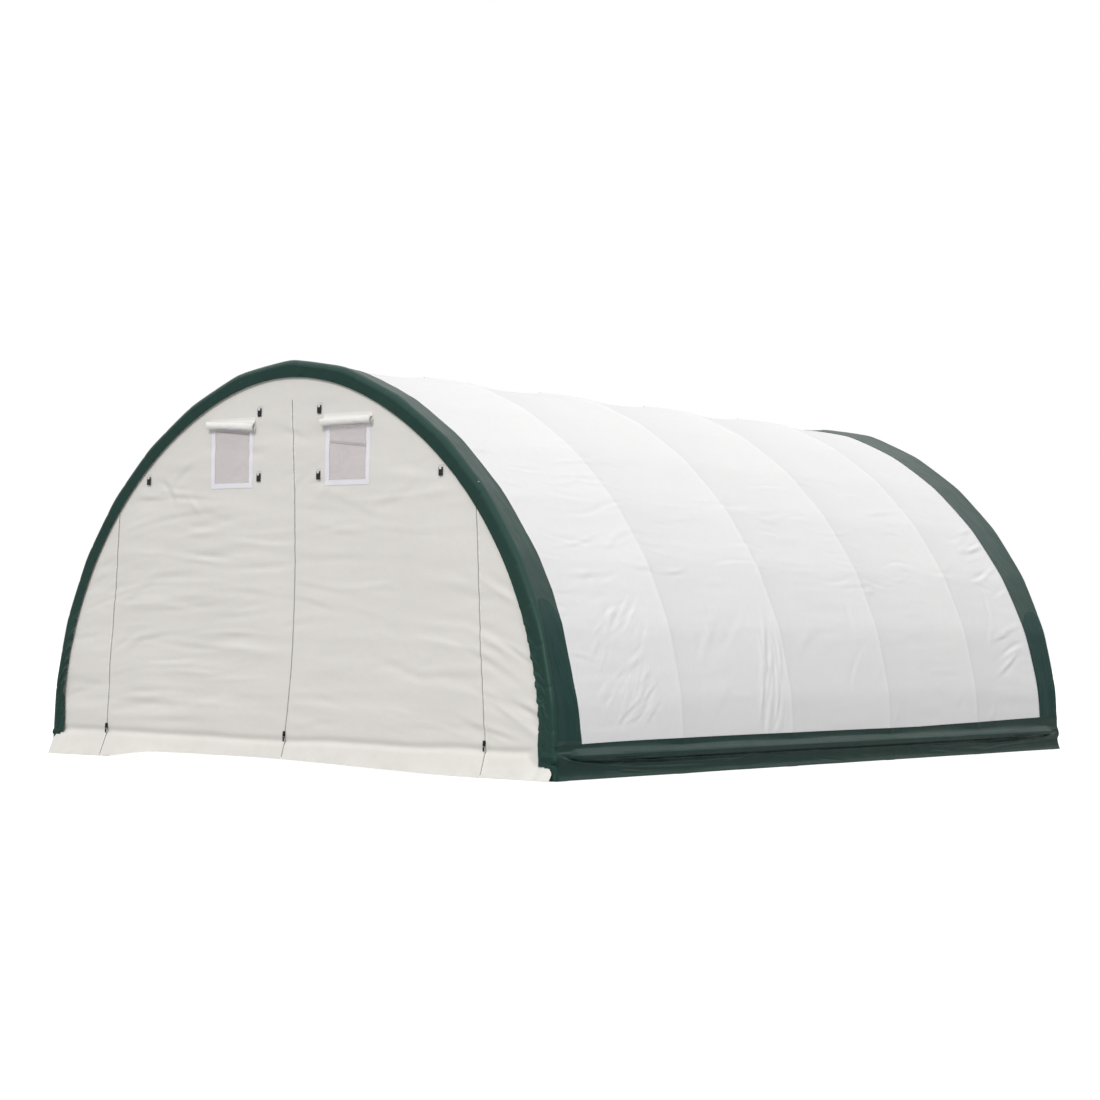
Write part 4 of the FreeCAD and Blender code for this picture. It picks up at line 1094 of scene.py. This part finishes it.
def make_eyelets(front):
    """Metal rings along the facing of an edge band."""
    sign = -1 if front else 1
    spots = np.arange(0.45, ARCH_LENGTH - 0.3, 0.42)
    x, z, nx, nz = arch_at(spots, 1.0)
    inward = FACING_IN - 0.022
    vertices, faces = [], []
    for cx, cz in zip(x - nx * inward, z - nz * inward):
        deep = wall_depth(np.array([cx]), np.array([cz]), 0 if front else REAR_SEED)[0]
        cy = sign * max(WALL_Y + deep + 0.0075, HALF_LENGTH + FACING_Y)
        base = len(vertices)
        for a in np.linspace(0, 2 * math.pi, EYELET_RING, endpoint=False):
            for b in np.linspace(0, 2 * math.pi, EYELET_SIDES, endpoint=False):
                r = EYELET_R + EYELET_WIRE * math.cos(b)
                out = sign * 0.0016 * (1 + math.sin(b))
                vertices.append((cx + r * math.cos(a), cy + out, cz + r * math.sin(a)))
        for i in range(EYELET_RING):
            k, after = base + i * EYELET_SIDES, base + (i + 1) % EYELET_RING * EYELET_SIDES
            for j in range(EYELET_SIDES):
                j1 = (j + 1) % EYELET_SIDES
                faces.append([k + j, k + j1, after + j1, after + j])
    obj = new_object(f"{'front' if front else 'rear'}_eyelets", vertices, faces, EYELET)
    place(obj, "zinc_hardware", "shelter")


def finish_cad_nodes():
    finish = {
        "galvanised_tube": TUBE, "zinc_fastener": ZINC, "zinc_hardware": ZINC,
        "dark_zinc": ENAMEL, "pale_webbing": GREY_STRAP, "black_plastic": BLACK,
    }
    slots = {row["node"]: row["material_slot"] for row in frame["record"]["subparts"]}
    for node, obj in frame["nodes"].items():
        if slots[node] in finish:
            for slot in obj.material_slots:
                slot.material = finish[slots[node]]


# ---- assembly
make_roof()
for front in (True, False):
    make_band(front)
for side, name in SIDES:
    make_base_band(side, name)
for front in (True, False):
    make_patches(front)
make_gable()
for side, name in SIDES:
    make_side_panel(side, name)
leaves = {side: make_leaf(side, name) for side, name in SIDES}
make_rear_wall()
teeth = make_zips()
heads = {}
for side, name in SIDES:
    make_vent(side, name)
    heads[side] = make_flap(side, name)
for front in (True, False):
    make_eyelets(front)
finish_cad_nodes()

for side, name in SIDES:
    for piece in [leaves[side], *teeth[side]]:
        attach(piece, "shelter")
        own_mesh(piece)
    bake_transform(heads[side])

# ---- floor, light, camera
FLOOR_HALF = 60
FLOOR_GLOW = 0.82  # what the camera sees of the floor's own light
floor_mat, tree, floor_bsdf, _ = material_nodes("floor")
put(floor_bsdf, {
    "Base Color": (0.42, 0.42, 0.42, 1), "Emission Color": (1, 1, 1, 1),
    "Specular IOR Level": 0.0, "Roughness": 0.9,
})
glow = add(tree, "ShaderNodeMath", operation="MULTIPLY")
glow.inputs[1].default_value = FLOOR_GLOW
link(tree, add(tree, "ShaderNodeLightPath").outputs["Is Camera Ray"], glow.inputs[0])
link(tree, glow.outputs[0], floor_bsdf.inputs["Emission Strength"])
corners = [(a * FLOOR_HALF, b * FLOOR_HALF, 0) for a, b in ((-1, -1), (1, -1), (1, 1), (-1, 1))]
new_object("floor", corners, [[0, 1, 2, 3]], floor_mat)


def add_object(name, data):
    obj = bpy.data.objects.new(name, data)
    bpy.context.collection.objects.link(obj)
    return obj


def area_light(name, spot, target, size, power, colour):
    """A rectangular light that the camera doesn't see."""
    data = bpy.data.lights.new(name, "AREA")
    data.shape = "RECTANGLE"
    data.size, data.size_y = size
    data.energy = power
    data.color = colour
    obj = add_object(name, data)
    obj.location = spot
    obj.rotation_euler = (Vector(target) - Vector(spot)).to_track_quat("-Z", "Y").to_euler()
    obj.visible_camera = False


def sun(name, toward, strength, spread, colour):
    """Soft distant light that shines from the direction toward and leaves no highlight."""
    data = bpy.data.lights.new(name, "SUN")
    data.energy = strength
    data.angle = math.radians(spread)
    data.color = colour
    obj = add_object(name, data)
    obj.rotation_euler = Vector(toward).to_track_quat("Z", "Y").to_euler()
    obj.location = Vector(toward) * 20
    obj.visible_glossy = False


sun("key", (0.20, -0.72, 0.66), 1.48, 14, (1.0, 0.995, 0.985))
area_light("right_fill", (12, -10, 5), (3, -3, 1.2), (5, 5), 170, (0.98, 0.99, 1.0))
area_light("inside", (0, 0, 3.2), (0, 0, 0), (2.0, 8.0), 40, (1.0, 0.97, 0.95))

# a white sky, dim at the horizon and bright overhead, over a plain white backdrop
SKY = {"From Min": 0.04, "From Max": 0.58, "To Min": 0.25, "To Max": 0.96}
world = bpy.data.worlds.new("studio")
bpy.context.scene.world = world
world.use_nodes = True
tree = world.node_tree
ambient = tree.nodes["Background"]
put(ambient, {"Color": (1, 1, 1, 1)})
upward = add(tree, "ShaderNodeSeparateXYZ")
link(tree, add(tree, "ShaderNodeTexCoord").outputs["Generated"], upward.inputs[0])
sky = add(tree, "ShaderNodeMapRange", interpolation_type="SMOOTHSTEP")
put(sky, SKY)
link(tree, upward.outputs["Z"], sky.inputs["Value"])
link(tree, sky.outputs["Result"], ambient.inputs["Strength"])
backdrop = add(tree, "ShaderNodeBackground", Color=(1, 1, 1, 1), Strength=1.0)
either = add(tree, "ShaderNodeMixShader")
link(tree, add(tree, "ShaderNodeLightPath").outputs["Is Camera Ray"], either.inputs[0])
link(tree, ambient.outputs[0], either.inputs[1])
link(tree, backdrop.outputs[0], either.inputs[2])
link(tree, either.outputs[0], tree.nodes["World Output"].inputs["Surface"])
bpy.context.scene.view_settings.view_transform = "Standard"

LENS, SENSOR = 84.6556, 36.0  # mm
YAW, PITCH, ROLL = 0.650, 0.030, 0.013
CAMERA_PLACE = (15.933, -21.683, 1.272)
ahead = math.cos(PITCH)
forward = Vector((-math.sin(YAW) * ahead, math.cos(YAW) * ahead, math.sin(PITCH)))
right = forward.cross(Vector((0, 0, 1))).normalized()
up = right.cross(forward)
rolled_right = right * math.cos(ROLL) + up * math.sin(ROLL)
rolled_up = up * math.cos(ROLL) - right * math.sin(ROLL)
camera_data = bpy.data.cameras.new("camera")
camera_data.sensor_width = SENSOR
camera_data.lens = LENS
camera_data.clip_end = 200
camera = add_object("camera", camera_data)
axes = Matrix((rolled_right, rolled_up, -forward)).transposed().to_4x4()
camera.matrix_world = Matrix.Translation(CAMERA_PLACE) @ axes
bpy.context.scene.camera = camera
